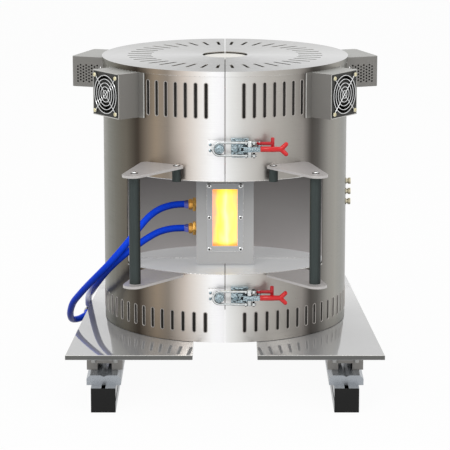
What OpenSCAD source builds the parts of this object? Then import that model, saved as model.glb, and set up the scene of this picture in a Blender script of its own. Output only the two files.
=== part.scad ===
/* [Furnace body] */
// Outside diameter of the sheet-steel shell
shell_d = 500; // [490:2:510]
// Thickness of the shell sheet
shell_t = 2; // [1.5:0.5:3]
// Height of the body above the deck
body_h = 545; // [540:2:570]
// Running gap under the body
body_gap = 1; // [0.6:0.2:2]
// Gap between the two halves
split_gap = 1.6; // [1.2:0.2:3]
// Thickness of the lid sheet
pan_t = 1.5; // [1:0.5:2]
// Depth of the lid's rim
pan_rim = 10; // [9:0.5:12]
// Radius of the hole in the lid
lid_hole_r = 46; // [44:1:48]
// How far the inner casing stands inside the shell
air_gap = 20; // [18:1:22]
// Thickness of the inner casing sheet
casing_t = 1.5; // [1:0.5:2]

/* [Vent slots] */
// Width of the vent slots in the shell
vent_w = 7; // [5:0.5:8]
// Lower end of the upper vents above the deck
upper_vent_z = 452; // [445:1:460]
// Height of the upper vents
upper_vent_h = 70; // [60:2:72]
// Angle between upper vents
upper_vent_pitch = 4.8; // [4.4:0.1:4.8]
// Lower end of the lower vents above the deck
lower_vent_z = 21; // [16:1:30]
// Height of the lower vents
lower_vent_h = 41; // [30:1:44]
// Angle between lower vents
lower_vent_pitch = 5.3; // [4.8:0.1:5.6]
// Inner end of the lid slots from the axis
lid_slot_r = 150; // [140:2:160]
// Length of the lid slots
lid_slot_len = 50; // [40:2:56]
// Width of the lid slots
lid_slot_w = 6; // [4:0.5:7]

/* [Recess and window] */
// Floor of the recess above the deck
recess_z = 140.5; // [138:0.5:144]
// Height of the recess
recess_h = 187; // [184:1:190]
// Angle from the front to the side edge of the recess
recess_angle = 52; // [50:1:54]
// Thickness of the recess lining
liner_t = 1.5; // [1:0.5:2]
// Radius of the recess back wall
wall_r = 248; // [246:1:250]
// Distance of the back wall's centre in front of the axis
wall_off = 230; // [228:1:234]
// Width of the window housing
housing_w = 115; // [110:1:120]
// Distance of the housing's front face from the axis
housing_front = 170; // [160:1:176]
// Thickness of the housing sheet
housing_t = 2; // [1.5:0.5:3]
// Width of the window opening
window_w = 50.6; // [46:0.2:54]
// Height of the window opening
window_h = 116.5; // [106:0.5:120]
// Height of the window's centre above the deck
window_z = 239; // [234:0.25:240]
// Thickness of the window glass
glass_t = 4; // [3:0.5:5]
// Thickness of the window frame plate
frame_t = 2; // [1.5:0.5:3]

/* [Hot zone] */
// Radius of the melting chamber
chamber_r = 46; // [44:1:50]
// Radius of the ports above and below the chamber
port_r = 30; // [28:0.5:31]
// Thickness of the insulation under and over the chamber
port_len = 50; // [40:2:60]
// Diameter of a heating rod
rod_d = 12; // [10:1:13]
// Distance of the rods from the axis
rod_circle_r = 38; // [37.5:0.25:38.5]

/* [Fan ducts and terminal boxes] */
// Angle of each fan duct from the front
duct_angle = 53; // [53:0.5:55]
// Outside width and height of a fan duct
duct_w = 90; // [86:1:92]
// How far a fan duct stands out from the shell
duct_out = 45; // [40:1:50]
// Distance of the duct's underside below the body's top
duct_drop = 100.5; // [100.5:0.5:109]
// Side of the square fan frame
fan_w = 80; // [78:1:80]
// Thickness of the fan frame
fan_t = 25; // [20:1:25]
// Distance between fan screws
fan_pitch = 71.5; // [70:0.5:72]
// Angle of each terminal box from the front
term_angle = 110; // [108:1:112]
// Width of a terminal box
term_w = 120; // [112:1:122]
// How far a terminal box stands out from the shell
term_out = 66.5; // [62:0.5:72]
// Distance of the terminal box's underside below the body's top
term_drop = 73; // [73:0.5:95]
// Height of a terminal box
term_h = 62.5; // [60:0.5:66]

/* [Handles] */
// Diameter of the grip tubes
grip_d = 22; // [20:1:24]
// Distance of the grips from the middle plane
grip_x = 175; // [168:1:180]
// Distance of the grips in front of the axis
grip_y = 325; // [320:1:330]
// Underside of the upper plates above the deck
upper_leaf_z = 353.5; // [350:0.5:356]
// Underside of the lower plates above the deck
lower_leaf_z = 135.5; // [130:0.5:135.5]
// Thickness of the handle plates
leaf_t = 5; // [4:0.5:6]

/* [Hinge] */
// Distance of the hinge axis behind the shell
hinge_off = 16; // [15:0.5:17]
// Diameter of the hinge pin
hinge_pin_d = 12; // [10:1:12]
// Diameter of the hinge knuckles
knuckle_d = 24; // [22:1:24]
// Length of a hinge knuckle
knuckle_len = 40; // [30:2:44]
// Height of the lower hinge above the deck
lower_hinge_z = 60; // [50:2:70]
// Height of the upper hinge above the deck
upper_hinge_z = 370; // [350:2:400]

/* [Latches] */
// Height of the upper latch above the deck
upper_latch_z = 396; // [385:1:420]
// Height of the lower latch above the deck
lower_latch_z = 98; // [90:1:108]
// Distance between the two rods of a latch bow
bow_w = 25; // [24:0.5:27]
// Diameter of the bow rod
bow_d = 5; // [4:0.5:5]
// Length of the handle grip
lever_grip_len = 50; // [40:1:56]

/* [Deck and rails] */
// Half width of the deck at its front edge
deck_front_half = 312.5; // [306:0.5:316]
// Half width of the deck at its rear edge
deck_rear_half = 270.5; // [268:0.5:272]
// Half length of the deck
deck_half_len = 342; // [336:1:346]
// Thickness of the deck plate
deck_t = 10; // [8:0.5:12]
// Width of the notch in the deck
notch_w = 127; // [120:1:132]
// Distance between the two rails
rail_gauge = 472; // [466:2:476]
// Side of the square slotted profile
profile_w = 48; // [45:1:50]
// Length of the rails with their end caps
profile_len = 1012; // [990:2:1030]
// Width of the slots in the profile
profile_slot_w = 8; // [6:0.5:9]
// Thickness of the end caps
cap_t = 3; // [2:0.5:5]
// Width of the guide rails
guide_w = 67; // [62:1:70]
// Height of the guide rails
guide_h = 19.5; // [16:0.5:22]
// Width of the slide blocks
block_w = 70; // [66:1:70]
// Height of the slide blocks
block_h = 23; // [22.5:0.5:26]
// Length of the slide blocks
block_len = 90; // [70:2:100]

/* [Water supply] */
// Outside diameter of the water hoses
hose_d = 12; // [11:0.5:12]
// Diameter of the hose fittings
nipple_d = 24; // [20:1:26]
// Length of the hose fittings
nipple_len = 16.5; // [16.5:0.5:16.5]
// Height of the water manifold
manifold_h = 20.5; // [19:0.5:21]
// Radius of the water supply ports
supply_r = 5.5; // [4.5:0.5:6]
// Depth of the water supply ports
supply_len = 30; // [20:1:40]

/* [Hidden] */
$fn = 96;
// Facets of the cylinders that trim thin plates
fine = 300;

// Clearance of pieces that seat on each other
seat = 0.3;
// Radial running clearance of pins in their bores
run = 0.05;
// How far cutting shapes reach past what they cut
over = 1;
// Thickness of the folded sheet of ducts and boxes
sheet_t = 1.5;

shell_r = shell_d / 2;
shell_ri = shell_r - shell_t;
lean_r = shell_r + seat;
pan_r = shell_r + seat + pan_t + 0.2;
shell_top = body_h - pan_t;
casing_r = shell_ri - air_gap;
casing_top = body_h - 13;
wool_r = casing_r - casing_t - seat;
wool_z = body_gap + casing_t + seat;
wool_top = casing_top - 2;
chamber_z = wool_z + port_len;
chamber_top = wool_top - port_len;
recess_top = recess_z + recess_h;
first_vent = 8.5;
front_vents = 7;
first_lower_vent = 9;
lower_vents = floor((168 - first_lower_vent) / lower_vent_pitch) + 1;
lid_slots = 20;
corner_r = 10;
rod_angles = [128, 160];
rod_room = 1;
rod_socket = 20;

deck_top = profile_w + guide_h + seat + block_h + deck_t + 0.2;
axis_y = -deck_half_len + 230;
rail_x = rail_gauge / 2;
rail_front = -profile_len / 2;
guide_inset = 26;
block_inset = 14;
block_low = profile_w + guide_h + seat + 0.2;
deck_under = deck_top - deck_t;
block_ys = [axis_y - deck_half_len + block_inset, axis_y + deck_half_len - block_inset - block_len];
bolt_x = 21.5;

leaf_tip = [grip_x + 3, -grip_y - 11];
leaf_inner = [shell_r * 0.38, -shell_r * 0.985];
leaf_root = [shell_r * 0.62, -shell_r * 0.86];
leaf_screws = [[grip_x, -grip_y], leaf_inner];

hinge_y = shell_r + hinge_off;
post_y = hinge_y + knuckle_d / 2 + 2;
post_w = 28;
post_t = 18;
foot_t = 8;
ear_len = 26;
pin_low = lower_hinge_z - ear_len - 4;
pin_high = upper_hinge_z + 2 * knuckle_len + ear_len + 4;
leaf_angle = 15;

housing_z = recess_z + 3.5;
housing_top = recess_top - 0.5;
front_wall = glass_t + 2;
fit_gap = 0.6;
frame_margin = 11.2;
frame_low = window_z - window_h / 2 - frame_margin;
frame_high = window_z + window_h / 2 + frame_margin;
glass_lap = 2.7;
frame_screw_x = window_w / 2 + 6.2;
frame_screw_z = window_h / 2 + 6.6;
nipple_y = housing_front - 30;
nipple_zs = [260, 211];

duct_reach = shell_r + duct_out;
duct_z = body_h - duct_drop;
fan_z = duct_z + duct_w / 2;
term_reach = shell_r + term_out;
term_z = body_h - term_drop;
connector_z = upper_leaf_z - 93.5;
connector_pitch = 21.5;
fan_back = duct_reach - fan_t - 0.5;
fan_hub_r = 18;
fan_shaft_r = 3;
fan_hole_r = fan_w / 2 - 2;
blade_count = 7;
flange_w = 14;
guard_wire = 1.8;
guard_rings = 5;
term_hole = 4;
term_hole_pitch = 6.2;

latch_zs = [upper_latch_z, lower_latch_z];
latch_out = 18;
pivot_x = 30;
pivot_y = -(shell_r + latch_out);
bow_x = 48;
bow_y = pivot_y - 4;
lever_half = 5;
cheek_t = 3;
bow_end_x = -11;
catch_r = bow_w / 2 - bow_d / 2 - 0.5;
catch_reach = -bow_y + 5;
latch_pin_r = 3;
trunnion_r = 5;
release_x = 67;
release_y = pivot_y + 10;
release_z = 9;
lever_grip_x = 69;
tang_len = 14;

manifold_y0 = 66;
manifold_len = 118;
manifold_x0 = 195;
manifold_x1 = 275;
deck_low = -deck_t;
manifold_mid = deck_low - manifold_h / 2;
port_ys = [92, 162];
mouth_x = 294;
mouth_len = 12;
water_bore_r = 4;

// Routes of the two hoses from the window to the manifold, in mm from the body axis
upper_hose = [
    [-74, -140, 260], [-90, -140, 260], [-110, -143, 258], [-132, -152, 252], [-152, -165, 240],
    [-170, -178, 222], [-190, -189, 198], [-212, -193, 172], [-234, -187, 146], [-256, -168, 120],
    [-277, -142, 94], [-296, -113, 68], [-312, -83, 43], [-322, -54, 19], [-325, -25, -1],
    [-320, 3, -15], [-310, 29, -21], [-300, 54, -22], [-295, 68, -21], [-294, 80, -20]];
lower_hose = [
    [-74, -140, 211], [-90, -140, 211], [-110, -143, 210], [-132, -152, 206], [-152, -165, 198],
    [-172, -178, 187], [-194, -184, 172], [-216, -177, 152], [-235, -159, 130], [-251, -133, 107],
    [-264, -104, 85], [-273, -66, 66], [-279, -26, 51], [-284, 14, 38], [-288, 54, 24],
    [-291, 86, 11], [-293, 112, -3], [-294, 132, -14], [-294, 150, -20]];
hose_sides = 8;

module furnace() translate([0, axis_y, deck_top]) children();
module radial(angle) rotate([0, 0, angle]) children();
module sided(side) mirror([side < 0 ? 1 : 0, 0, 0]) children();

// Space of the half of the body on the +X side
module keep_half() {
    intersection() {
        children();
        translate([split_gap / 2, -shell_d, -shell_d]) cube([shell_d, 2 * shell_d, 4 * shell_d]);
    }
}

module ring(outer, inner, low, high) {
    difference() {
        translate([0, 0, low]) cylinder(r = outer, h = high - low);
        translate([0, 0, low - over]) cylinder(r = inner, h = high - low + 2 * over);
    }
}

module slot_outline(w, low, high) {
    translate([-w / 2, low + w / 2]) square([w, high - low - w]);
    translate([0, low + w / 2]) circle(d = w);
    translate([0, high - w / 2]) circle(d = w);
}

// A flat outline in the X-Z plane pushed outwards, along -Y
module push_out(from, to) {
    translate([0, -from, 0]) rotate([90, 0, 0]) linear_extrude(to - from) children();
}

// A cylinder that points outwards, along -Y
module outward(from, to, radius) {
    translate([0, -from, 0]) rotate([90, 0, 0]) cylinder(r = radius, h = to - from);
}

module recess_plan(radius) {
    intersection() {
        circle(r = shell_ri - seat);
        translate([0, -wall_off]) circle(r = radius);
    }
}

module shell_cutout() {
    reach = 2 * shell_d;
    difference() {
        translate([0, 0, recess_z]) linear_extrude(recess_h) polygon([
            [0, 0], [-reach * sin(5), -reach * cos(5)],
            [reach * sin(recess_angle / 2), -reach * cos(recess_angle / 2)],
            [reach * sin(recess_angle), -reach * cos(recess_angle)]]);
        radial(recess_angle) push_out(shell_r - 3 * corner_r, shell_r + 3 * corner_r)
            difference() {
                translate([-corner_r, recess_z]) square([corner_r + over, corner_r]);
                translate([-corner_r, recess_z + corner_r]) circle(r = corner_r);
            }
    }
}

module half_shell() {
    difference() {
        keep_half() ring(shell_r, shell_ri, body_gap, shell_top);
        shell_cutout();
        for (i = [0 : front_vents - 1])
            radial(first_vent + i * upper_vent_pitch) push_out(shell_ri - over, shell_r + over)
                slot_outline(vent_w, upper_vent_z, upper_vent_z + upper_vent_h);
        for (i = [0 : lower_vents - 1])
            radial(first_lower_vent + i * lower_vent_pitch) push_out(shell_ri - over, shell_r + over)
                slot_outline(vent_w, lower_vent_z, lower_vent_z + lower_vent_h);
        fan_place() outward(shell_ri - 2 * over, shell_r + 2 * over, fan_hole_r - 2);
        radial(term_angle) translate([0, 0, term_z + term_h / 2])
            outward(shell_ri - over, shell_r + over, term_h / 3);
    }
}

module half_casing() {
    floor_r = shell_ri - seat;
    difference() {
        keep_half() union() {
            ring(casing_r, casing_r - casing_t, body_gap, casing_top);
            translate([0, 0, body_gap]) cylinder(r = floor_r, h = casing_t);
        }
        translate([0, 0, -over]) cylinder(r = port_r, h = body_gap + casing_t + 2 * over);
        translate([0, 0, recess_z - liner_t - seat]) linear_extrude(recess_h + 2 * liner_t + 2 * seat)
            translate([0, -wall_off]) circle(r = wall_r + liner_t + seat);
    }
}

module half_top_plate() {
    difference() {
        keep_half() union() {
            translate([0, 0, body_h - pan_t]) cylinder(r = pan_r, h = pan_t);
            ring(pan_r, pan_r - pan_t, body_h - pan_rim, body_h);
        }
        translate([0, 0, body_h - pan_t - over]) cylinder(r = lid_hole_r, h = pan_t + 2 * over);
        for (i = [0 : lid_slots - 1])
            radial(180 / lid_slots * (i + 0.5)) translate([0, 0, body_h - pan_t - over])
                linear_extrude(pan_t + 2 * over)
                    slot_outline(lid_slot_w, -lid_slot_r - lid_slot_len, -lid_slot_r);
    }
}

// The melting chamber, which every piece around it leaves free
module chamber() translate([0, 0, chamber_z]) cylinder(r = chamber_r, h = chamber_top - chamber_z);

// The view from the window into the chamber
module tunnel() {
    translate([-window_w / 2, -housing_front, window_z - window_h / 2])
        cube([window_w, housing_front, window_h]);
}

module half_recess_liner() {
    difference() {
        keep_half() union() {
            translate([0, 0, recess_z - liner_t]) linear_extrude(liner_t) recess_plan(wall_r + liner_t);
            translate([0, 0, recess_top]) linear_extrude(liner_t) recess_plan(wall_r + liner_t);
            translate([0, 0, recess_z]) linear_extrude(recess_h) difference() {
                recess_plan(wall_r + liner_t);
                recess_plan_inside();
            }
        }
        tunnel();
        chamber();
    }
}

module recess_plan_inside() translate([0, -wall_off]) circle(r = wall_r);

module half_insulation() {
    difference() {
        keep_half() translate([0, 0, wool_z]) cylinder(r = wool_r, h = wool_top - wool_z);
        chamber();
        translate([0, 0, wool_z - over]) cylinder(r = port_r, h = wool_top - wool_z + 2 * over);
        translate([0, 0, recess_z - liner_t - seat]) linear_extrude(recess_h + 2 * liner_t + 2 * seat)
            translate([0, -wall_off]) circle(r = wall_r + liner_t + seat);
        tunnel();
        for (a = rod_angles) radial(a) translate([0, -rod_circle_r, chamber_z - rod_socket])
            cylinder(d = rod_d + rod_room, h = chamber_top - chamber_z + 2 * rod_socket);
    }
}

module half_rods() {
    for (a = rod_angles) radial(a) translate([0, -rod_circle_r, chamber_z - rod_socket])
        cylinder(d = rod_d, h = chamber_top - chamber_z + 2 * rod_socket);
}

// One hinge leaf with its knuckle, on the +X side
module hinge_leaf(low) {
    leaf = 4;
    difference() {
        union() {
            intersection() {
                ring(lean_r + leaf, lean_r, low, low + knuckle_len);
                translate([0, 0, low]) linear_extrude(knuckle_len) polygon([
                    [split_gap / 2, 0], [split_gap / 2, shell_d],
                    [shell_d * sin(leaf_angle), shell_d * cos(leaf_angle)]]);
            }
            translate([0, hinge_y, low]) cylinder(d = knuckle_d, h = knuckle_len);
            difference() {
                translate([split_gap / 2, shell_r - over, low])
                    cube([knuckle_d / 2, hinge_off + over, knuckle_len]);
                translate([0, 0, low - over]) cylinder(r = lean_r, h = knuckle_len + 2 * over);
            }
        }
        translate([0, hinge_y, low - over]) cylinder(r = hinge_pin_d / 2 + run, h = knuckle_len + 2 * over);
    }
}

// The right half's knuckles sit above the left half's
function knuckle_shift(side) = side < 0 ? 0 : knuckle_len + seat;

module half_hinges(side) {
    for (z = [lower_hinge_z, upper_hinge_z]) hinge_leaf(z + knuckle_shift(side));
}

module fan_place() radial(duct_angle) translate([0, 0, fan_z]) children();

module half_duct() {
    root = 20;
    inside = duct_w / 2 - sheet_t;
    difference() {
        union() {
            fan_place() translate([-duct_w / 2, -duct_reach, -duct_w / 2])
                cube([duct_w, duct_reach - shell_r + root, duct_w]);
            intersection() {
                ring(lean_r + sheet_t, lean_r, duct_z, duct_z + duct_w);
                radial(duct_angle) translate([-duct_w / 2 - flange_w, -duct_reach, duct_z])
                    cube([duct_w + 2 * flange_w, duct_reach, duct_w]);
            }
        }
        fan_place() translate([-inside, -duct_reach - over, -inside])
            cube([2 * inside, duct_reach, 2 * inside]);
        translate([0, 0, duct_z - over]) cylinder(r = lean_r, h = duct_w + 2 * over);
    }
}

module half_fan_frame() {
    lip = 2;
    pad = duct_w / 2 - sheet_t - seat;
    fan_place() difference() {
        union() {
            difference() {
                translate([-fan_w / 2, -fan_back - fan_t, -fan_w / 2]) cube([fan_w, fan_t, fan_w]);
                outward(fan_back - over, fan_back + fan_t + over, fan_hole_r);
            }
            translate([-pad, -fan_back - fan_t, -pad]) difference() {
                cube([2 * pad, lip, 2 * pad]);
                translate([pad, lip / 2, pad]) rotate([90, 0, 0])
                    cylinder(r = fan_hole_r, h = 4 * lip, center = true);
            }
            outward(fan_back, fan_back + 6, fan_hub_r);
            for (a = [45, 135]) translate([0, -fan_back - 1.5, 0]) rotate([0, a, 0])
                cube([2 * fan_hole_r + 2, 3, 4], center = true);
        }
        outward(fan_back - over, fan_back + 6 + over, fan_shaft_r + run);
        for (x = [-1, 1], z = [-1, 1]) translate([x * fan_pitch / 2, 0, z * fan_pitch / 2])
            outward(fan_back - over, fan_back + fan_t + over, 2.2);
    }
}

module half_fan_rotor() {
    blade_r = fan_hole_r - 1.5;
    fan_place() {
        outward(fan_back + 0.5, fan_back + 6.5, fan_shaft_r);
        outward(fan_back + 6.5, fan_back + fan_t - 3, fan_hub_r);
        for (i = [0 : blade_count - 1])
            translate([0, -fan_back - 14, 0]) rotate([0, i * 360 / blade_count, 0])
                translate([fan_hub_r - 2, 0, 0]) rotate([-35, 0, 0])
                    translate([0, -0.8, -9]) cube([blade_r - fan_hub_r, 1.6, 18]);
    }
}

module half_fan_guard() {
    front = duct_reach + seat;
    reach = fan_pitch / 2 * sqrt(2);
    fan_place() {
        for (i = [1 : guard_rings]) let (r = i * fan_hole_r / guard_rings) difference() {
            outward(front, front + guard_wire, r + guard_wire / 2);
            outward(front - over, front + guard_wire + over, r - guard_wire / 2);
        }
        difference() {
            union() {
                for (a = [45, 135]) translate([0, -front - guard_wire / 2, 0]) rotate([0, a, 0])
                    cube([2 * reach, guard_wire - 0.4, guard_wire], center = true);
                for (x = [-1, 1], z = [-1, 1]) translate([x * fan_pitch / 2, 0, z * fan_pitch / 2])
                    outward(front, front + guard_wire, 3.4);
            }
            for (x = [-1, 1], z = [-1, 1]) translate([x * fan_pitch / 2, 0, z * fan_pitch / 2])
                outward(front - over, front + guard_wire + over, 2.1);
        }
    }
}

module half_fasteners(side) {
    front = duct_reach + seat + guard_wire;
    fan_place() for (x = [-1, 1], z = [-1, 1]) translate([x * fan_pitch / 2, 0, z * fan_pitch / 2]) {
        outward(front, front + 2.6, 4);
        outward(fan_back + 2, front, 1.9);
    }
    for (p = leaf_screws) translate([p[0], p[1], upper_leaf_z + leaf_t]) cylinder(r = 6, h = 2.5);
    for (z = [lower_hinge_z, upper_hinge_z], a = [6.5, 12])
        radial(180 - a) translate([0, 0, z + knuckle_shift(side) + knuckle_len / 2])
            outward(lean_r + 4, lean_r + 7, 4.5);
}

module half_terminal_box() {
    wall = sheet_t;
    rows = 9;
    round_r = 7;
    root = 40;
    difference() {
        radial(term_angle) difference() {
            union() {
                translate([-term_w / 2, -term_reach + round_r, term_z])
                    cube([term_w, term_reach - shell_r + root, term_h]);
                translate([-term_w / 2 + round_r, -term_reach, term_z])
                    cube([term_w - 2 * round_r, 2 * round_r, term_h]);
                for (x = [-1, 1]) translate([x * (term_w / 2 - round_r), -term_reach + round_r, term_z])
                    cylinder(r = round_r, h = term_h);
            }
            translate([-term_w / 2 + wall, -term_reach + wall + round_r, term_z + wall])
                cube([term_w - 2 * wall, term_reach, term_h - 2 * wall]);
            translate([-term_w / 2 + round_r, -term_reach + wall, term_z + wall])
                cube([term_w - 2 * round_r, 2 * round_r, term_h - 2 * wall]);
            for (i = [0 : rows - 1], j = [0 : 5])
                translate([0, -term_reach + 14 + i * term_hole_pitch, term_z + 11])
                    translate([0, 0, (j + 0.5 * (i % 2)) * term_hole_pitch])
                        rotate([0, 90, 0]) cylinder(d = term_hole, h = term_w + 2 * over, center = true);
        }
        translate([0, 0, term_z - over]) cylinder(r = lean_r, h = term_h + 2 * over);
    }
}

module leaf_plan() {
    difference() {
        hull() {
            translate(leaf_tip) circle(r = 20, $fn = 32);
            translate(leaf_inner) circle(r = 13, $fn = 32);
            translate(leaf_root) circle(r = 13, $fn = 32);
        }
        circle(r = lean_r);
    }
}

module half_handle_plates() {
    for (z = [lower_leaf_z, upper_leaf_z]) translate([0, 0, z]) linear_extrude(leaf_t) leaf_plan();
}

module half_grip() {
    low = lower_leaf_z + leaf_t;
    translate([grip_x, -grip_y, low]) cylinder(d = grip_d, h = upper_leaf_z - low);
    translate([leaf_inner[0], leaf_inner[1], recess_top]) cylinder(r = 9, h = upper_leaf_z - recess_top);
}

module profile_bar(x) {
    depth = 11;
    lip = 3;
    inner = 2 * profile_slot_w;
    len = profile_len - 2 * cap_t;
    color("silver") translate([x, rail_front + cap_t, profile_w / 2]) rotate([-90, 0, 0]) linear_extrude(len)
        difference() {
            square(profile_w, center = true);
            for (a = [0, 90, 180, 270]) rotate(a) {
                translate([profile_w / 2 - depth, -profile_slot_w / 2])
                    square([depth + over, profile_slot_w]);
                translate([profile_w / 2 - depth, -inner / 2]) square([depth - lip, inner]);
            }
            circle(r = 4);
        }
}

module profile_left() profile_bar(-rail_x);
module profile_right() profile_bar(rail_x);

module profile_end_caps() {
    color("#262626") for (x = [-rail_x, rail_x], y = [rail_front, -rail_front - cap_t])
        translate([x - profile_w / 2, y, 0]) cube([profile_w, cap_t, profile_w]);
}

module guide_rails() {
    bevel = 7;
    groove = 3;
    half = guide_w / 2;
    color("#a9adb3") for (x = [-rail_x, rail_x])
        translate([x, -rail_front - guide_inset, profile_w]) rotate([90, 0, 0])
            linear_extrude(profile_len - 2 * guide_inset) polygon([
                [-half, 0], [half, 0], [half, guide_h - bevel], [half - bevel, guide_h],
                [2 * groove, guide_h], [0, guide_h - groove], [-2 * groove, guide_h],
                [-half + bevel, guide_h], [-half, guide_h - bevel]]);
}

module slide_blocks() {
    web = 10;
    runner = 21;
    color("#6e6b66") for (x = [-rail_x, rail_x], y = block_ys) translate([x, y, block_low]) difference() {
        translate([-block_w / 2, 0, 0]) cube([block_w, block_len, deck_under - block_low]);
        translate([-block_w / 2 + runner, -over, -over])
            cube([block_w - 2 * runner, block_len + 2 * over, deck_under - block_low - web + over]);
    }
}

module deck_bolts() {
    head = 6;
    off = 7;
    color("#8a8a88") for (x = [-rail_x, rail_x], side = [-1, 1])
        for (y = [block_ys[0] - off, block_ys[1] + block_len + off])
            translate([x + side * bolt_x, y, deck_under - head]) cylinder(r = 5, h = head);
}

module deck_plate() {
    color("#bdbdbd") furnace() translate([0, 0, -deck_t]) difference() {
        linear_extrude(deck_t) polygon([
            [-deck_front_half, -deck_half_len], [deck_front_half, -deck_half_len],
            [deck_rear_half, deck_half_len], [-deck_rear_half, deck_half_len]]);
        translate([0, 0, -over]) cylinder(d = notch_w, h = deck_t + 2 * over);
        translate([-notch_w / 2, -deck_half_len - over, -over])
            cube([notch_w, deck_half_len + over, deck_t + 2 * over]);
    }
}

module hinge_post() {
    ears = [for (z = [lower_hinge_z, upper_hinge_z])
        each [z - ear_len - seat, z + 2 * knuckle_len + 2 * seat]];
    color("#8f8f8d") furnace() difference() {
        union() {
            translate([-post_w / 2, post_y, 0]) cube([post_w, post_t, pin_high]);
            translate([-post_w / 2, post_y, 0]) cube([post_w, 2 * post_t, foot_t]);
            for (z = ears) {
                translate([0, hinge_y, z]) cylinder(d = knuckle_d - 1, h = ear_len);
                translate([-8, hinge_y, z]) cube([16, post_y - hinge_y + over, ear_len]);
            }
        }
        translate([0, hinge_y, -over]) cylinder(r = hinge_pin_d / 2 + run, h = pin_high + 2 * over);
    }
}

module hinge_pin() {
    color("#c9cbcd") furnace() translate([0, hinge_y, pin_low]) {
        cylinder(d = hinge_pin_d, h = pin_high - pin_low);
        translate([0, 0, pin_high - pin_low]) cylinder(d = hinge_pin_d + 4, h = 4);
    }
}

module water_manifold() {
    color("#c8912f") furnace() difference() {
        union() {
            translate([-manifold_x1, manifold_y0, deck_low - manifold_h])
                cube([manifold_x1 - manifold_x0, manifold_len, manifold_h]);
            for (y = port_ys) translate([-mouth_x, y, manifold_mid]) {
                rotate([0, 90, 0]) cylinder(r = 7, h = mouth_x - manifold_x1 + over);
                translate([0, 7, 0]) outward(0, mouth_len + 7, 7.5);
            }
        }
        for (y = port_ys) translate([-mouth_x, y, manifold_mid]) {
            translate([mouth_x - manifold_x0 - supply_len, 0, 0]) rotate([0, 90, 0])
                cylinder(r = supply_r, h = supply_len + over);
            rotate([0, 90, 0]) cylinder(r = water_bore_r, h = mouth_x - manifold_x0);
            outward(0, mouth_len + over, water_bore_r);
        }
    }
}

module window_housing() {
    w = housing_w / 2;
    inner = w - housing_t;
    color("#9b9c9d") furnace() difference() {
        intersection() {
            translate([-w, -housing_front, housing_z])
                cube([housing_w, housing_front + shell_r, housing_top - housing_z]);
            translate([0, -wall_off, 0]) cylinder(r = wall_r - fit_gap, h = body_h);
        }
        translate([-inner, -housing_front + front_wall, housing_z + housing_t])
            cube([2 * inner, shell_d, housing_top - housing_z - 2 * housing_t]);
        chamber();
        tunnel_front();
        glass_pocket(seat);
        frame_screw_places() outward(housing_front - front_wall - over, housing_front + over, 2.05);
    }
}

module tunnel_front() {
    translate([-window_w / 2, -housing_front - over, window_z - window_h / 2])
        cube([window_w, front_wall + 2 * over, window_h]);
}

module glass_pocket(margin) {
    w = window_w / 2 + glass_lap + margin;
    h = window_h / 2 + glass_lap + margin;
    translate([-w, -housing_front - margin * 2, window_z - h]) cube([2 * w, glass_t + margin * 2, 2 * h]);
}

module frame_screw_places() {
    for (x = [-1, 1], z = [-1, 0, 1])
        translate([x * frame_screw_x, 0, window_z + z * frame_screw_z]) children();
}

module window_insulation() {
    inset = housing_t + seat;
    w = housing_w / 2 - inset;
    color("#e7dfcf") furnace() difference() {
        intersection() {
            translate([-w, -housing_front + front_wall + seat, housing_z + inset])
                cube([2 * w, shell_d, housing_top - housing_z - 2 * inset]);
            translate([0, -wall_off, 0]) cylinder(r = wall_r - fit_gap, h = body_h);
        }
        tunnel();
        chamber();
    }
}

module window_frame() {
    w = window_w / 2 + frame_margin;
    color("#9aa0a6") furnace() difference() {
        translate([-w, -housing_front - frame_t, frame_low]) cube([2 * w, frame_t, frame_high - frame_low]);
        translate([-window_w / 2, -housing_front - frame_t - over, window_z - window_h / 2])
            cube([window_w, frame_t + 2 * over, window_h]);
        frame_screw_places() outward(housing_front - over, housing_front + frame_t + over, 2.2);
    }
}

module window_glass() {
    w = window_w / 2 + glass_lap;
    h = window_h / 2 + glass_lap;
    color("#ffcf6a") furnace()
        translate([-w, -housing_front, window_z - h]) cube([2 * w, glass_t - seat, 2 * h]);
}

module window_screws() {
    color("#d8d2b8") furnace() frame_screw_places() {
        outward(housing_front - front_wall + 1, housing_front + frame_t, 1.9);
        outward(housing_front + frame_t, housing_front + frame_t + 1.4, 4.2);
    }
}

module water_nipples() {
    hex = nipple_len * 0.45;
    color("#c8912f") furnace() for (z = nipple_zs)
        translate([-housing_w / 2, -nipple_y, z]) rotate([0, -90, 0]) difference() {
            union() {
                cylinder(d = nipple_d * 0.72, h = nipple_len);
                translate([0, 0, 1]) cylinder(d = nipple_d, h = hex, $fn = 6);
                translate([0, 0, hex + 2.5]) cylinder(d = nipple_d * 0.92, h = nipple_len - hex - 3.5);
            }
            translate([0, 0, -over]) cylinder(r = water_bore_r, h = nipple_len + 2 * over);
        }
}

module top_plug() {
    color("#ece7d6") furnace() {
        translate([0, 0, wool_top + seat]) cylinder(r = lid_hole_r - 1, h = body_h - 4 - wool_top - seat);
        translate([0, 0, chamber_top]) cylinder(r = port_r - 0.7, h = wool_top - chamber_top + seat);
    }
}

module latch_catches() {
    plate = 4;
    left = -34;
    color("#b9c3c9") furnace() for (z = latch_zs) translate([0, 0, z]) {
        difference() {
            union() {
                translate([left, -shell_r - plate, -14]) cube([-left - split_gap, plate + 8, 28]);
                translate([bow_end_x, 0, 0]) {
                    outward(shell_r - 8, catch_reach, catch_r);
                    outward(catch_reach, catch_reach + 3, catch_r * 0.6);
                }
                for (s = [-1, 1]) translate([left + 5, 0, s * 6])
                    outward(shell_r + plate, shell_r + plate + 4, 3);
            }
            translate([0, 0, -20]) cylinder(r = lean_r, h = 40, $fn = fine);
        }
    }
}

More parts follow.
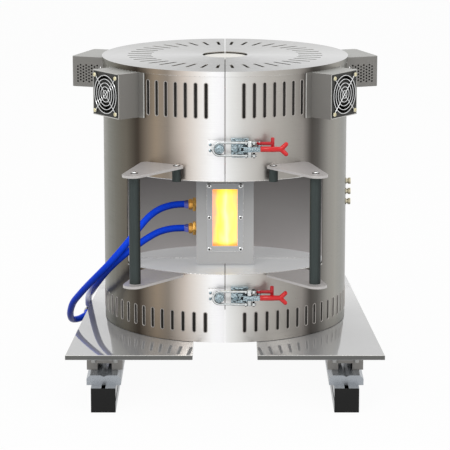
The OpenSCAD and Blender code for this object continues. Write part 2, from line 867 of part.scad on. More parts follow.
module latch_bases() {
    left = 12;
    right = 46;
    cheek_y = pivot_y + 7;
    color("#b9c3c9") furnace() for (z = latch_zs) translate([0, 0, z]) {
        difference() {
            union() {
                translate([left, -shell_r - 4, -19]) cube([right - left, 14, 38]);
                for (s = [-1, 1]) translate([0, 0, s * (lever_half + 0.5 + cheek_t / 2) - cheek_t / 2])
                    linear_extrude(cheek_t) {
                        translate([left + 4, cheek_y - 1])
                            square([right - left - 8, -cheek_y - shell_r + 14]);
                        translate([pivot_x, pivot_y]) circle(r = 8);
                        translate([pivot_x - 7.5, pivot_y]) square([15, 7.5]);
                    }
                translate([pivot_x, pivot_y, 0])
                    cylinder(r = latch_pin_r, h = 2 * lever_half + 9, center = true);
                for (x = [left + 6, right - 6], s = [-1, 1]) translate([x, 0, s * 14.5])
                    outward(shell_r + 4, shell_r + 7, 3);
            }
            translate([0, 0, -25]) cylinder(r = lean_r, h = 50, $fn = fine);
        }
    }
}

module latch_lever(z) {
    arm = lever_half - 2;
    color("#aeb8be") furnace() translate([0, 0, z]) difference() {
        union() {
            translate([pivot_x, pivot_y, 0]) cylinder(r = 6.5, h = 2 * lever_half, center = true);
            translate([bow_x, bow_y, 0]) cylinder(r = 8, h = 2 * lever_half, center = true);
            translate([0, 0, -lever_half]) linear_extrude(2 * lever_half) polygon([
                [pivot_x, pivot_y - 6], [bow_x, bow_y - 7.5], [lever_grip_x - 1, bow_y - 4],
                [lever_grip_x - 1, bow_y + 4], [bow_x + 8, bow_y + 5], [bow_x, bow_y + 7.5],
                [pivot_x, pivot_y + 6]]);
            translate([lever_grip_x - 3, bow_y - 3, -3.5]) cube([tang_len, 6, 7]);
            translate([0, 0, -arm]) linear_extrude(2 * arm) polygon([
                [bow_x + 4, bow_y + 4], [bow_x + 14, bow_y + 2],
                [release_x + 4, release_y - 2], [release_x - 3, release_y + 3]]);
            translate([release_x, release_y, -arm]) cylinder(r = 4.5, h = 2 * arm + 3);
            translate([release_x, release_y, 0]) cylinder(r = 2, h = release_z + 4);
        }
        translate([pivot_x, pivot_y, 0]) cylinder(r = latch_pin_r + run, h = 4 * lever_half, center = true);
        translate([bow_x, bow_y, 0]) cylinder(r = trunnion_r + run, h = 4 * lever_half, center = true);
    }
}

module latch_grip(z) {
    color("#e8141c") furnace() translate([lever_grip_x, bow_y, z]) difference() {
        union() {
            rotate([0, 90, 0]) cylinder(r = 5.5, h = lever_grip_len);
            translate([lever_grip_len, 0, 0]) cylinder(r = 4.5, h = 20, center = true);
            for (s = [-1, 1]) translate([lever_grip_len, 0, s * 10]) sphere(r = 4.5);
        }
        translate([-over, -3 - seat, -3.5 - seat])
            cube([tang_len - 3 + over + seat, 6 + 2 * seat, 7 + 2 * seat]);
    }
}

module latch_bow(z) {
    half = bow_w / 2;
    tail = 14;
    color("#c3ccd1") furnace() translate([0, bow_y, z]) {
        translate([bow_end_x, 0, 0]) rotate([90, 0, 0]) rotate_extrude_half(half, bow_d);
        for (s = [-1, 1]) translate([0, 0, s * half]) rotate([0, 90, 0]) {
            translate([0, 0, bow_end_x]) cylinder(d = bow_d, h = bow_x + tail - bow_end_x);
            translate([0, 0, bow_x + trunnion_r + 1]) cylinder(r = 5.5, h = 5, $fn = 6);
            translate([0, 0, bow_x - trunnion_r - 3.5]) cylinder(r = 5.5, h = 3, $fn = 6);
        }
        translate([bow_x, 0, 0]) cylinder(r = trunnion_r, h = bow_w + 8, center = true);
    }
}

// Half of a ring of round wire, on the -X side
module rotate_extrude_half(radius, wire) {
    intersection() {
        rotate_extrude() translate([radius, 0]) circle(d = wire, $fn = 24);
        translate([-2 * radius, -2 * radius, -wire]) cube([2 * radius, 4 * radius, 2 * wire]);
    }
}

module latch_release(z) {
    arm = 26;
    color("#a8222a") furnace() translate([release_x, release_y, z + release_z]) difference() {
        union() {
            translate([0, 0, -2.5]) cylinder(r = 5, h = 5);
            rotate([0, 90, 0]) cylinder(r = 2.5, h = arm);
            translate([arm, 0, 0]) cylinder(r = 3, h = 24, center = true);
        }
        cylinder(r = 2 + run, h = 20, center = true);
    }
}

module side_connectors() {
    color("#c9bda0") furnace() for (i = [1, 0, -1])
        translate([lean_r, 0, connector_z + i * connector_pitch]) rotate([0, 90, 0]) {
        cylinder(r = 4.5, h = 4);
        translate([0, 0, 4]) cylinder(r = 6.75, h = 6);
    }
}

// Direction of a route at one of its points
function heading(p, i) = let (d = p[min(i + 1, len(p) - 1)] - p[max(i - 1, 0)]) d / norm(d);
function side_of(d) = let (c = cross(d, [0.35, 0.3, 0.89])) c / norm(c);

// A ring of points square to the route at one of its points
function hose_ring(p, i) =
    let (d = i == 0 ? [-1, 0, 0] : i == len(p) - 1 ? [0, 1, 0] : heading(p, i),
        u = side_of(d), v = cross(d, u), step = 360 / hose_sides)
    [for (k = [0 : hose_sides - 1]) p[i] + hose_d / 2 * (cos(step * k) * u + sin(step * k) * v)];

module hose(p) {
    n = len(p);
    rings = [for (i = [0 : n - 1]) each hose_ring(p, i)];
    sides = [for (i = [0 : n - 2], k = [0 : hose_sides - 1])
        let (a = i * hose_sides, b = (k + 1) % hose_sides)
        each [[a + k, a + b, a + hose_sides + k], [a + b, a + hose_sides + b, a + hose_sides + k]]];
    first = [for (k = [1 : hose_sides - 2]) [0, k + 1, k]];
    last = [for (k = [1 : hose_sides - 2]) let (a = (n - 1) * hose_sides) [a, a + k, a + k + 1]];
    polyhedron(points = rings, faces = concat(sides, first, last));
}

module water_hose_upper() color("#1439c8") furnace() hose(upper_hose);
module water_hose_lower() color("#1439c8") furnace() hose(lower_hose);

module shell(side) color("#b8b4ab") furnace() sided(side) half_shell();
module inner_casing(side) color("#5a5855") furnace() sided(side) half_casing();
module top_plate(side) color("#d9d9d9") furnace() sided(side) half_top_plate();
module recess_liner(side) color("#9a9490") furnace() sided(side) half_recess_liner();
module insulation(side) color("#efe9da") furnace() sided(side) half_insulation();
module heating_rods(side) color("#d9702a") furnace() sided(side) half_rods();
module hinge_knuckles(side) color("#9c9b98") furnace() sided(side) half_hinges(side);
module fan_duct(side) color("#7b7a76") furnace() sided(side) half_duct();
module fan_frame(side) color("#2e2e2b") furnace() sided(side) half_fan_frame();
module fan_rotor(side) color("#232322") furnace() sided(side) half_fan_rotor();
module fan_guard(side) color("#d4d6d6") furnace() sided(side) half_fan_guard();
module fasteners(side) color("#e8e2c0") furnace() sided(side) half_fasteners(side);
module terminal_box(side) color("#777572") furnace() sided(side) half_terminal_box();
module handle_plates(side) color("#a8a4a3") furnace() sided(side) half_handle_plates();
module handle_grip(side) color("#2d3232") furnace() sided(side) half_grip();

profile_left();
profile_right();
profile_end_caps();
guide_rails();
deck_plate();
slide_blocks();
deck_bolts();
hinge_post();
hinge_pin();
water_manifold();
shell(-1);  // left_shell
inner_casing(-1);  // left_inner_casing
top_plate(-1);  // left_top_plate
recess_liner(-1);  // left_recess_liner
insulation(-1);  // left_insulation
heating_rods(-1);  // left_heating_rods
hinge_knuckles(-1);  // left_hinge_knuckles
fan_duct(-1);  // left_fan_duct
fan_frame(-1);  // left_fan_frame
fan_rotor(-1);  // left_fan_rotor
fan_guard(-1);  // left_fan_guard
fasteners(-1);  // left_fasteners
terminal_box(-1);  // left_terminal_box
handle_plates(-1);  // left_handle_plates
handle_grip(-1);  // left_handle_grip
shell(1);  // right_shell
inner_casing(1);  // right_inner_casing
top_plate(1);  // right_top_plate
recess_liner(1);  // right_recess_liner
insulation(1);  // right_insulation
heating_rods(1);  // right_heating_rods
hinge_knuckles(1);  // right_hinge_knuckles
fan_duct(1);  // right_fan_duct
fan_frame(1);  // right_fan_frame
fan_rotor(1);  // right_fan_rotor
fan_guard(1);  // right_fan_guard
fasteners(1);  // right_fasteners
terminal_box(1);  // right_terminal_box
handle_plates(1);  // right_handle_plates
handle_grip(1);  // right_handle_grip
window_housing();
window_insulation();
window_frame();
window_glass();
window_screws();
water_nipples();
top_plug();
latch_catches();
latch_bases();
side_connectors();
latch_lever(upper_latch_z);  // upper_latch_lever
latch_grip(upper_latch_z);  // upper_latch_grip
latch_bow(upper_latch_z);  // upper_latch_bow
latch_release(upper_latch_z);  // upper_latch_release
latch_lever(lower_latch_z);  // lower_latch_lever
latch_grip(lower_latch_z);  // lower_latch_grip
latch_bow(lower_latch_z);  // lower_latch_bow
latch_release(lower_latch_z);  // lower_latch_release
water_hose_upper();
water_hose_lower();
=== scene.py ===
import math
import bmesh
import bpy
from mathutils import Matrix, Vector
from mathutils.geometry import convex_hull_2d


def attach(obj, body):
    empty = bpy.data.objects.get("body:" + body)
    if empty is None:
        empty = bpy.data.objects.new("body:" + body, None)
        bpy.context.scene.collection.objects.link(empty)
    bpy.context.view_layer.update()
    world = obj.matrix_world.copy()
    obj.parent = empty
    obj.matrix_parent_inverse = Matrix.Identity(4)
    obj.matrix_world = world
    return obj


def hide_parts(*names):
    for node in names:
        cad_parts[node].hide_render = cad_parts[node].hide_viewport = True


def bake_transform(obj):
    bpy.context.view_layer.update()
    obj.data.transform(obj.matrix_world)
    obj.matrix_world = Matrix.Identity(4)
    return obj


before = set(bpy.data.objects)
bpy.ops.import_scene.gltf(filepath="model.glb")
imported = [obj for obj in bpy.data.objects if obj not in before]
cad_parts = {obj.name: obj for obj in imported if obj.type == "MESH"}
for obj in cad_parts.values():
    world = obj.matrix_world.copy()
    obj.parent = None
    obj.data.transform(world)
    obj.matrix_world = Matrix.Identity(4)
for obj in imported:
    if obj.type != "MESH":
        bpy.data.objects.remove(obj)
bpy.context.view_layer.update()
scene = bpy.context.scene
scene.view_settings.view_transform = "Standard"

# The furnace is described in millimetres from its own axis, with the deck's top at zero
axisY = -112
deckTop = 101
furnaceMatrix = Matrix.Scale(0.001, 4) @ Matrix.Translation((0, axisY, deckTop))


def turned(axis, degrees):
    return Matrix.Rotation(math.radians(degrees), 4, axis)


def moved(x, y, z):
    return Matrix.Translation((x, y, z))


# Camera, at the place the photograph was taken from
cameraLook = {"place": (0, -4.7995, 1.2824), "tilt": 78.03, "lens": 184.2}
cameraData = bpy.data.cameras.new("photoCamera")
cameraData.lens = cameraLook["lens"]
cameraData.sensor_width = 36
cameraData.clip_end = 60
camera = bpy.data.objects.new("photoCamera", cameraData)
camera.location = cameraLook["place"]
camera.rotation_euler = (math.radians(cameraLook["tilt"]), 0, 0)
scene.collection.objects.link(camera)
scene.camera = camera


# Nodes and finishes
def hexColour(text):
    parts = [int(text[i:i + 2], 16) / 255 for i in (1, 3, 5)]
    return [p / 12.92 if p <= 0.04045 else ((p + 0.055) / 1.055) ** 2.4 for p in parts] + [1]


def addNode(tree, kind, sockets=None, **settings):
    node = tree.nodes.new(kind)
    for name, value in settings.items():
        setattr(node, name, value)
    for name, value in (sockets or {}).items():
        if isinstance(value, bpy.types.NodeSocket):
            tree.links.new(value, node.inputs[name])
        else:
            node.inputs[name].default_value = value
    return node


def rampOf(tree, factor, stops):
    node = addNode(tree, "ShaderNodeValToRGB", {"Fac": factor})
    ramp = node.color_ramp
    while len(ramp.elements) < len(stops):
        ramp.elements.new(0.5)
    for element, (place, colour) in zip(ramp.elements, sorted(stops.items())):
        element.position = place
        element.color = hexColour(colour)
    return node.outputs["Color"]


# Reflections on a brushed cylinder lie in upright bands; they are given by the angle from the front
shellReflectionBands = {
    -180: "#a8a49e", -140: "#c9c5c0", -110: "#84827a", -68: "#6b6a5f", -52: "#655f54", -44: "#3c342c",
    -38: "#7b7063", -33: "#988977", -27: "#8e8479", -19: "#cfc4ba", -13: "#e9e3dd", -6: "#ffffff",
    -2: "#fdfcfe", 2: "#ececea", 9: "#d2d0cc", 19: "#b6b2ac", 33: "#9b9791", 38: "#8e8984",
    43: "#4c4844", 48: "#5a5753", 56: "#928f89", 63: "#9a978f", 74: "#84847e", 110: "#8f8d86",
    140: "#c4c1bc", 180: "#a8a49e"}

# The spun lid is lit like a shallow cone, palest at its two sides
lidLightBands = {
    -180: "#b4b4b3", -130: "#bcbcbb", -85: "#cdcdcd", -45: "#b8b8b7", -12: "#a6a6a5", 0: "#a2a2a1",
    12: "#a8a8a7", 45: "#bdbdbd", 85: "#d0d0d0", 130: "#bebebd", 180: "#b4b4b3"}


def azimuthColour(tree, place, bands):
    # Turns the front of the furnace to the middle of the gradient
    about = addNode(tree, "ShaderNodeMapping", {"Vector": place})
    about.inputs["Rotation"].default_value = (0, 0, math.pi / 2)
    about.inputs["Location"].default_value = (axisY / 1000, 0, 0)
    angle = addNode(tree, "ShaderNodeTexGradient", {"Vector": about.outputs[0]}, gradient_type="RADIAL")
    return rampOf(tree, angle.outputs["Fac"], {0.5 + a / 360: c for a, c in bands.items()})


def heightColour(tree, place, stops):
    height = addNode(tree, "ShaderNodeSeparateXYZ", {"Vector": place}).outputs["Z"]
    low, high = min(stops), max(stops)
    share = addNode(tree, "ShaderNodeMapRange", {
        "Value": height, "From Min": (deckTop + low) / 1000, "From Max": (deckTop + high) / 1000})
    return rampOf(tree, share.outputs[0], {(z - low) / (high - low): c for z, c in stops.items()})


def newMaterial(name):
    material = bpy.data.materials.new(name)
    material.use_nodes = True
    return material, material.node_tree, material.node_tree.nodes["Principled BSDF"]


def makeFinish(name, look):
    material, tree, shader = newMaterial(name)
    coordinates = addNode(tree, "ShaderNodeTexCoord")
    place, normal = coordinates.outputs["Object"], coordinates.outputs["Normal"]
    if "bands" in look:
        colour = azimuthColour(tree, place, look["bands"])
    elif "heights" in look:
        colour = heightColour(tree, place, look["heights"])
    else:
        colour = addNode(tree, "ShaderNodeRGB").outputs[0]
        colour.default_value = hexColour(look["colour"])
    if "paintedLevelLight" in look:
        # Painted light: the level, upward-facing part of the sheet gets the colour of the light falling on it
        level = addNode(tree, "ShaderNodeSeparateXYZ", {"Vector": normal}).outputs["Z"]
        share = addNode(tree, "ShaderNodeMapRange", {"Value": level, "From Min": 0.4, "From Max": 0.6})
        flat = addNode(tree, "ShaderNodeMix", {0: share.outputs[0], 6: colour}, data_type="RGBA")
        if isinstance(look["paintedLevelLight"], dict):
            tree.links.new(azimuthColour(tree, place, look["paintedLevelLight"]), flat.inputs[7])
        else:
            flat.inputs[7].default_value = hexColour(look["paintedLevelLight"])
        colour = flat.outputs[2]
    grain = addNode(tree, "ShaderNodeMapping", {"Vector": place})
    grain.inputs["Scale"].default_value = [1000 / size for size in look["grainMm"]]
    noise = addNode(tree, "ShaderNodeTexNoise", {
        "Vector": grain.outputs[0], "Scale": 1.0, "Detail": 4.0, "Roughness": 0.6}).outputs["Fac"]
    vary = look.get("vary", 0.08)
    shade = addNode(tree, "ShaderNodeMapRange", {
        "Value": noise, "From Min": 0.3, "From Max": 0.7, "To Min": 1 - vary, "To Max": 1.0})
    tint = addNode(tree, "ShaderNodeMix", {0: 1.0, 6: colour, 7: shade.outputs[0]}, data_type="RGBA",
                   blend_type="MULTIPLY")
    if "form" in look:
        # Painted shade: faces turned down and away from the light are darkened, keeping the dark of the room
        facing = addNode(tree, "ShaderNodeVectorMath", {0: normal, 1: look.get("formWay", (0, -0.5, 0.87))},
                         operation="DOT_PRODUCT")
        away, toward = look.get("formRange", (-0.6, 0.55))
        shade = addNode(tree, "ShaderNodeMapRange", {
            "Value": facing.outputs["Value"], "From Min": away, "From Max": toward, "To Min": 1 - look["form"]})
        tint = addNode(tree, "ShaderNodeMix", {0: 1.0, 6: tint.outputs[2], 7: shade.outputs[0]},
                       data_type="RGBA", blend_type="MULTIPLY")
    tree.links.new(tint.outputs[2], shader.inputs["Base Color"])
    gloss = addNode(tree, "ShaderNodeMapRange", {"Value": noise, "From Min": 0.3, "From Max": 0.7,
                                                 "To Min": look["rough"] * 0.8, "To Max": look["rough"] * 1.2})
    tree.links.new(gloss.outputs[0], shader.inputs["Roughness"])
    bump = addNode(tree, "ShaderNodeBump", {
        "Height": noise, "Strength": look.get("bump", 0.05), "Distance": 0.0004})
    tree.links.new(bump.outputs[0], shader.inputs["Normal"])
    shader.inputs["Metallic"].default_value = look.get("metal", 0.0)
    if "glow" in look:
        # Painted glow, standing in for light that has bounced about inside
        tree.links.new(tint.outputs[2], shader.inputs["Emission Color"])
        shader.inputs["Emission Strength"].default_value = look["glow"]
    for socket, value in look.get("shader", {}).items():
        shader.inputs[socket].default_value = value
    return material


finishLooks = {
    # Brushed stainless sheet: fine level scratches and soft upright bands of painted reflection
    "brushedStainless": {"bands": shellReflectionBands, "grainMm": (60, 60, 0.9), "rough": 0.34, "metal": 0.9,
                         "vary": 0.05, "bump": 0.04},
    # The same sheet spun into a lid: painted light, pale on top, and bands of painted reflection on its rim
    "lidStainless": {"bands": shellReflectionBands, "paintedLevelLight": lidLightBands, "grainMm": (14, 14, 1.2), "rough": 0.36,
                     "metal": 0.9, "vary": 0.03, "bump": 0.03},
    # Painted highlight on a cut or sheared edge of stainless sheet, bright from every side
    "brightEdge": {"colour": "#f2f1ee", "grainMm": (6, 6, 6), "rough": 0.25, "metal": 0.6, "vary": 0.06},
    # Rolled rim of a punched slot, painted pale as a highlight
    "rolledRim": {"colour": "#b9b4af", "grainMm": (6, 6, 6), "rough": 0.34, "metal": 0.5, "vary": 0.06},
    # Painted highlight along a folded edge of painted sheet
    "paintEdge": {"colour": "#c6c5c1", "grainMm": (6, 6, 6), "rough": 0.35, "metal": 0.3, "vary": 0.06},
    # Mirror-polished stainless plate: a clean, pale reflection
    "mirrorPolish": {"colour": "#cbcbcb", "grainMm": (90, 30, 30), "rough": 0.06, "metal": 0.5, "vary": 0.01,
                     "bump": 0.004},
    # Darker, rougher side faces of the same plate
    "darkerPlateSides": {"colour": "#6c6c6a", "grainMm": (30, 30, 1.0), "rough": 0.45, "metal": 0.8, "vary": 0.15},
    # Inner sheet, nearly black behind the slots: painted shade of the slots' depth, lifted by a painted glow
    "shadedCasing": {"colour": "#4c4a47", "grainMm": (40, 40, 8), "rough": 0.6, "metal": 0.4, "vary": 0.2,
                   "glow": 0.2},
    # Satin sheet of the recess: painted shade darkens it under its roof, its floor gets a painted lighter colour,
    # and a painted glow lifts it
    "recessSheet": {"heights": {144: "#a09c9b", 220: "#918e8d", 290: "#767372", 310: "#4d4a48",
                                330: "#2c2a28"},
                    "paintedLevelLight": "#cbcccd", "grainMm": (200, 200, 6), "rough": 0.45, "metal": 0.3, "vary": 0.02,
                    "bump": 0.0, "glow": 0.4},
    # Ceramic fibre: soft off-white with short hairs
    "ceramicFibre": {"colour": "#efe9da", "grainMm": (3, 3, 9), "rough": 0.95, "vary": 0.16, "bump": 0.6},
    # Pressed ceramic board
    "ceramicBoard": {"colour": "#f4f2ec", "grainMm": (2, 2, 2), "rough": 0.85, "vary": 0.07, "bump": 0.3},
    # Silicon carbide rod, glowing orange
    "hotRod": {"colour": "#d9702a", "grainMm": (4, 4, 20), "rough": 0.7, "vary": 0.25,
               "shader": {"Emission Color": hexColour("#ff7a26"), "Emission Strength": 0.8}},
    # Grey painted steel box: a fine even orange-peel, its top painted lighter by the light from above
    "greyPaint": {"colour": "#85837f", "paintedLevelLight": "#a3a39f", "grainMm": (2.5, 2.5, 2.5), "rough": 0.42,
                  "metal": 0.35, "vary": 0.05, "bump": 0.06},
    # Glass-filled plastic of a fan
    "fanPlastic": {"colour": "#22221e", "grainMm": (1.5, 1.5, 1.5), "rough": 0.5, "vary": 0.2, "bump": 0.15},
    # Shadowed socket of a screw
    "darkSocket": {"colour": "#2c2b29", "grainMm": (2, 2, 2), "rough": 0.6, "metal": 0.3, "vary": 0.2},
    # Bright chromed wire
    "chromeWire": {"colour": "#e2e3e3", "grainMm": (5, 5, 5), "rough": 0.12, "metal": 1.0, "vary": 0.04},
    # Yellow-passivated screw heads, worn pale
    "creamScrew": {"colour": "#efe8c4", "grainMm": (1.2, 1.2, 1.2), "rough": 0.3, "metal": 0.45, "vary": 0.16},
    # Laser-cut satin plate, lifted by a painted glow
    "satinPlate": {"colour": "#bcb8b7", "grainMm": (30, 2.0, 6), "rough": 0.36, "metal": 0.3, "vary": 0.06,
                   "glow": 0.13},
    # Black anodised tube: a painted sheen along its length, with painted shade towards its sides
    "blackAnodised": {"colour": "#454d4c", "form": 0.9, "formWay": (-0.2, -0.85, 0), "formRange": (0.1, 0.8),
                      "grainMm": (2, 2, 40), "rough": 0.45, "vary": 0.16,
                      "shader": {"Specular IOR Level": 0.12}},
    # Brushed window box, lighter at its foot and darkened upwards in painted shade under the recess roof
    "windowBox": {"heights": {140: "#c4c4c4", 200: "#bababa", 270: "#a9a9a9", 325: "#858688"},
                  "grainMm": (1.0, 40, 60), "rough": 0.38, "metal": 0.5, "vary": 0.05},
    # Cooler, finer sheet of the frame on it, darkened upwards in painted shade
    "windowFrame": {"heights": {160: "#c0c1c2", 240: "#b2b3b5", 310: "#96989a"}, "grainMm": (2.0, 60, 90),
                    "rough": 0.34, "metal": 0.5, "vary": 0.03},
    # Machined brass, with painted shade on faces turned away and a painted glow
    "machinedBrass": {"colour": "#eeb75e", "form": 0.9, "grainMm": (3, 3, 3), "rough": 0.17, "metal": 0.85,
                      "vary": 0.4, "glow": 0.25},
    # Blue polyurethane hose: deep colour with little surface shine, painted shade on its underside and a painted
    # glow
    "blueHose": {"colour": "#1a50fa", "form": 0.78, "formRange": (-0.4, 0.95), "grainMm": (60, 60, 60),
                 "rough": 0.12, "vary": 0.12, "bump": 0.0, "glow": 0.1, "shader": {"Specular IOR Level": 0.03}},
    # The hose's end, stretched pale over its fitting
    "lilacFlare": {"colour": "#6a70d2", "grainMm": (9, 9, 9), "rough": 0.18, "vary": 0.12},
    # Bright zinc plate with a bluish cast, painted shade on faces turned away
    "zincPlate": {"colour": "#d2e6ee", "form": 0.92, "grainMm": (2.6, 2.6, 2.6), "rough": 0.14, "metal": 0.97,
                  "vary": 0.85},
    # Steel wire, bright zinc, painted shade on its underside
    "zincWire": {"colour": "#f2f6f6", "form": 0.9, "grainMm": (5, 2.4, 2.4), "rough": 0.16, "metal": 1.0,
                 "vary": 0.45},
    # Dipped red vinyl grip, with light painted shade on faces turned away
    "redVinyl": {"colour": "#e6060f", "form": 0.4, "grainMm": (6, 6, 6), "rough": 0.24, "vary": 0.1,
                 "shader": {"Coat Weight": 0.15, "Coat Roughness": 0.1}},
    # The release's grip, a deeper red, with light painted shade on faces turned away
    "darkRedVinyl": {"colour": "#cf222c", "form": 0.3, "grainMm": (6, 6, 6), "rough": 0.3, "vary": 0.1},
    # Nickel-plated connectors with a warm cast, painted shade on faces turned away
    "warmNickel": {"colour": "#ddd4b8", "form": 0.7, "grainMm": (1.5, 6, 1.5), "rough": 0.25, "metal": 0.9,
                   "vary": 0.2},
    # Ground rail steel, painted shade on faces turned away
    "groundRail": {"colour": "#a6abb1", "form": 0.6, "grainMm": (1.0, 60, 3), "rough": 0.3, "metal": 0.75,
                   "vary": 0.1},
    # Milled steel block, painted shade on faces turned away
    "milledBlock": {"colour": "#8f8c88", "form": 0.5, "grainMm": (2, 30, 2), "rough": 0.4, "metal": 0.6,
                    "vary": 0.12},
    # Clear-anodised extruded aluminium: long die lines, painted shade on its sides and underside
    "anodisedProfile": {"colour": "#c4c6c8", "form": 0.85, "grainMm": (1.0, 300, 1.0), "rough": 0.33,
                        "metal": 0.85, "vary": 0.1},
    # Moulded black end cap
    "blackCap": {"colour": "#121212", "grainMm": (1.2, 1.2, 1.2), "rough": 0.6, "vary": 0.2, "bump": 0.15,
                 "shader": {"Specular IOR Level": 0.25}},
    # Turned and milled steel of the hinge
    "turnedSteel": {"colour": "#9b9b99", "grainMm": (20, 20, 0.8), "rough": 0.32, "metal": 0.85, "vary": 0.12},
    # Enamelled hook-up wire
    "redWire": {"colour": "#8a4632", "grainMm": (4, 4, 4), "rough": 0.4, "vary": 0.1},
}
finish = {name: makeFinish(name, look) for name, look in finishLooks.items()}


def makeGlow(look):
    # Hot glass: yellow in the middle, orange towards its edges
    material, tree, shader = newMaterial("glowingGlass")
    place = addNode(tree, "ShaderNodeTexCoord").outputs["Object"]
    grain = addNode(tree, "ShaderNodeMapping", {"Vector": place})
    grain.inputs["Scale"].default_value = [1000 / size for size in look["swirlMm"]]
    swirl = addNode(tree, "ShaderNodeTexNoise", {"Vector": grain.outputs[0], "Scale": 1.0, "Detail": 2.0})
    split = addNode(tree, "ShaderNodeSeparateXYZ", {"Vector": place})
    edge = look["halfWidth"] / 1000
    across = addNode(tree, "ShaderNodeMapRange", {
        "Value": split.outputs["X"], "From Min": -edge, "From Max": edge})
    wander = addNode(tree, "ShaderNodeMath", {0: swirl.outputs["Fac"], 1: 0.5}, operation="SUBTRACT")
    shift = addNode(tree, "ShaderNodeMath", {0: wander.outputs[0], 1: look["wander"], 2: across.outputs[0]},
                    operation="MULTIPLY_ADD")
    acrossColour = rampOf(tree, shift.outputs[0], look["across"])
    upwards = addNode(tree, "ShaderNodeMapRange", {"Value": split.outputs["Z"],
                                                   "From Min": (deckTop + look["low"]) / 1000,
                                                   "From Max": (deckTop + look["high"]) / 1000})
    upColour = rampOf(tree, upwards.outputs[0], look["upwards"])
    glow = addNode(tree, "ShaderNodeMix", {0: 1.0, 6: acrossColour, 7: upColour}, data_type="RGBA",
                   blend_type="MULTIPLY")
    tree.links.new(glow.outputs[2], shader.inputs["Emission Color"])
    tree.links.new(glow.outputs[2], shader.inputs["Base Color"])
    shader.inputs["Emission Strength"].default_value = look["strength"]
    shader.inputs["Roughness"].default_value = look["rough"]
    return material


finish["glowingGlass"] = makeGlow({
    "swirlMm": (16, 16, 48), "halfWidth": 28, "low": 178, "high": 300, "wander": 0.42, "strength": 0.95,
    "rough": 0.08,
    "across": {0.0: "#ee9c86", 0.1: "#f8a97c", 0.19: "#ffc463", 0.3: "#ffd94c", 0.42: "#ffef74",
               0.55: "#fff8a0", 0.66: "#fff07c", 0.78: "#ffd966", 0.88: "#ffc872", 1.0: "#f6ab80"},
    "upwards": {0.0: "#e98a6c", 0.045: "#f7c59a", 0.1: "#ffffff", 0.86: "#ffffff", 0.95: "#fff6a0",
                1.0: "#ffd873"}})
print("finishes:", len(finish))


# Mesh tools: every piece is drawn in millimetres and lands in the frame when it is finished
def placeNew(bm, old, matrix):
    bmesh.ops.transform(bm, matrix=matrix, verts=[v for v in bm.verts if v not in old])


def paintNew(bm, old, index):
    for f in bm.faces:
        if f not in old and not f.material_index:
            f.material_index = index


def edgesOf(verts):
    return list({e for v in verts for e in v.link_edges})


def bevelEdges(bm, edges, width):
    bmesh.ops.bevel(bm, geom=edges, offset=width, segments=2, profile=0.5, affect="EDGES", material=-1)


def addBox(bm, low, high, bevel=0.0, matrix=Matrix()):
    low, high = Vector(low), Vector(high)
    spread = Matrix.LocRotScale((low + high) / 2, None, high - low)
    made = bmesh.ops.create_cube(bm, size=1, matrix=matrix @ spread)
    if bevel:
        bevelEdges(bm, edgesOf(made["verts"]), bevel)


def addRod(bm, start, end, radius, steps=20, bevel=0.0, matrix=Matrix(), tip=None):
    start, end = Vector(start), Vector(end)
    way = end - start
    turn = way.to_track_quat("Z", "Y").to_matrix().to_4x4()
    made = bmesh.ops.create_cone(bm, cap_ends=True, segments=steps, radius1=radius,
                                 radius2=radius if tip is None else tip, depth=way.length,
                                 matrix=matrix @ Matrix.Translation((start + end) / 2) @ turn)
    if bevel:
        rims = [e for e in edgesOf(made["verts"]) if any(len(f.verts) == steps for f in e.link_faces)]
        bevelEdges(bm, rims, bevel)


def addTurned(bm, profile, matrix=Matrix(), steps=32):
    # profile is (radius, height) from one end on the axis to the other
    old = set(bm.verts)
    verts = [bm.verts.new((radius, 0, height)) for radius, height in profile]
    edges = [bm.edges.new(pair) for pair in zip(verts, verts[1:])]
    bmesh.ops.spin(bm, geom=verts + edges, cent=(0, 0, 0), axis=(0, 0, 1), angle=math.tau, steps=steps,
                   use_merge=True)
    placeNew(bm, old, matrix)


def addHoop(bm, radius, wire, matrix=Matrix(), steps=56, angle=math.tau):
    old = set(bm.verts)
    made = bmesh.ops.create_circle(bm, cap_ends=False, segments=10, radius=wire,
                                   matrix=moved(radius, 0, 0) @ turned("X", 90))
    bmesh.ops.spin(bm, geom=made["verts"] + edgesOf(made["verts"]), cent=(0, 0, 0), axis=(0, 0, 1),
                   angle=angle, steps=steps, use_merge=angle == math.tau)
    placeNew(bm, old, matrix)


def addPlate(bm, outline, low, high, bevel=0.0, matrix=Matrix(), edgeIndex=None, rimIndex=None):
    old, oldFaces = set(bm.verts), set(bm.faces)
    face = bm.faces.new([bm.verts.new((x, y, low)) for x, y in outline])
    made = bmesh.ops.extrude_face_region(bm, geom=[face], use_keep_orig=True)
    top = [v for v in made["geom"] if isinstance(v, bmesh.types.BMVert)]
    bmesh.ops.translate(bm, verts=top, vec=(0, 0, high - low))
    fresh = [f for f in bm.faces if f not in oldFaces]
    bmesh.ops.recalc_face_normals(bm, faces=fresh)
    if bevel:
        bevelEdges(bm, list({e for f in fresh if abs(f.normal.z) > 0.9 for e in f.edges}), bevel)
    for f in [f for f in bm.faces if f not in oldFaces]:
        f.normal_update()
        if edgeIndex is not None and abs(f.normal.z) < 0.2:
            f.material_index = edgeIndex
        elif rimIndex is not None and 0.2 <= f.normal.z < 0.95:
            f.material_index = rimIndex
    placeNew(bm, old, matrix)


def arc(centreX, centreY, radius, start, end, steps):
    turns = [math.radians(start + (end - start) * i / steps) for i in range(steps + 1)]
    return [(centreX + radius * math.cos(t), centreY + radius * math.sin(t)) for t in turns]


def makeObject(name, mesh, finishes, sharp):
    mesh.polygons.foreach_set("use_smooth", [True] * len(mesh.polygons))
    mesh.set_sharp_from_angle(angle=math.radians(sharp))
    for each in finishes:
        mesh.materials.append(finish[each])
    piece = bpy.data.objects.new(name, mesh)
    scene.collection.objects.link(piece)
    return piece


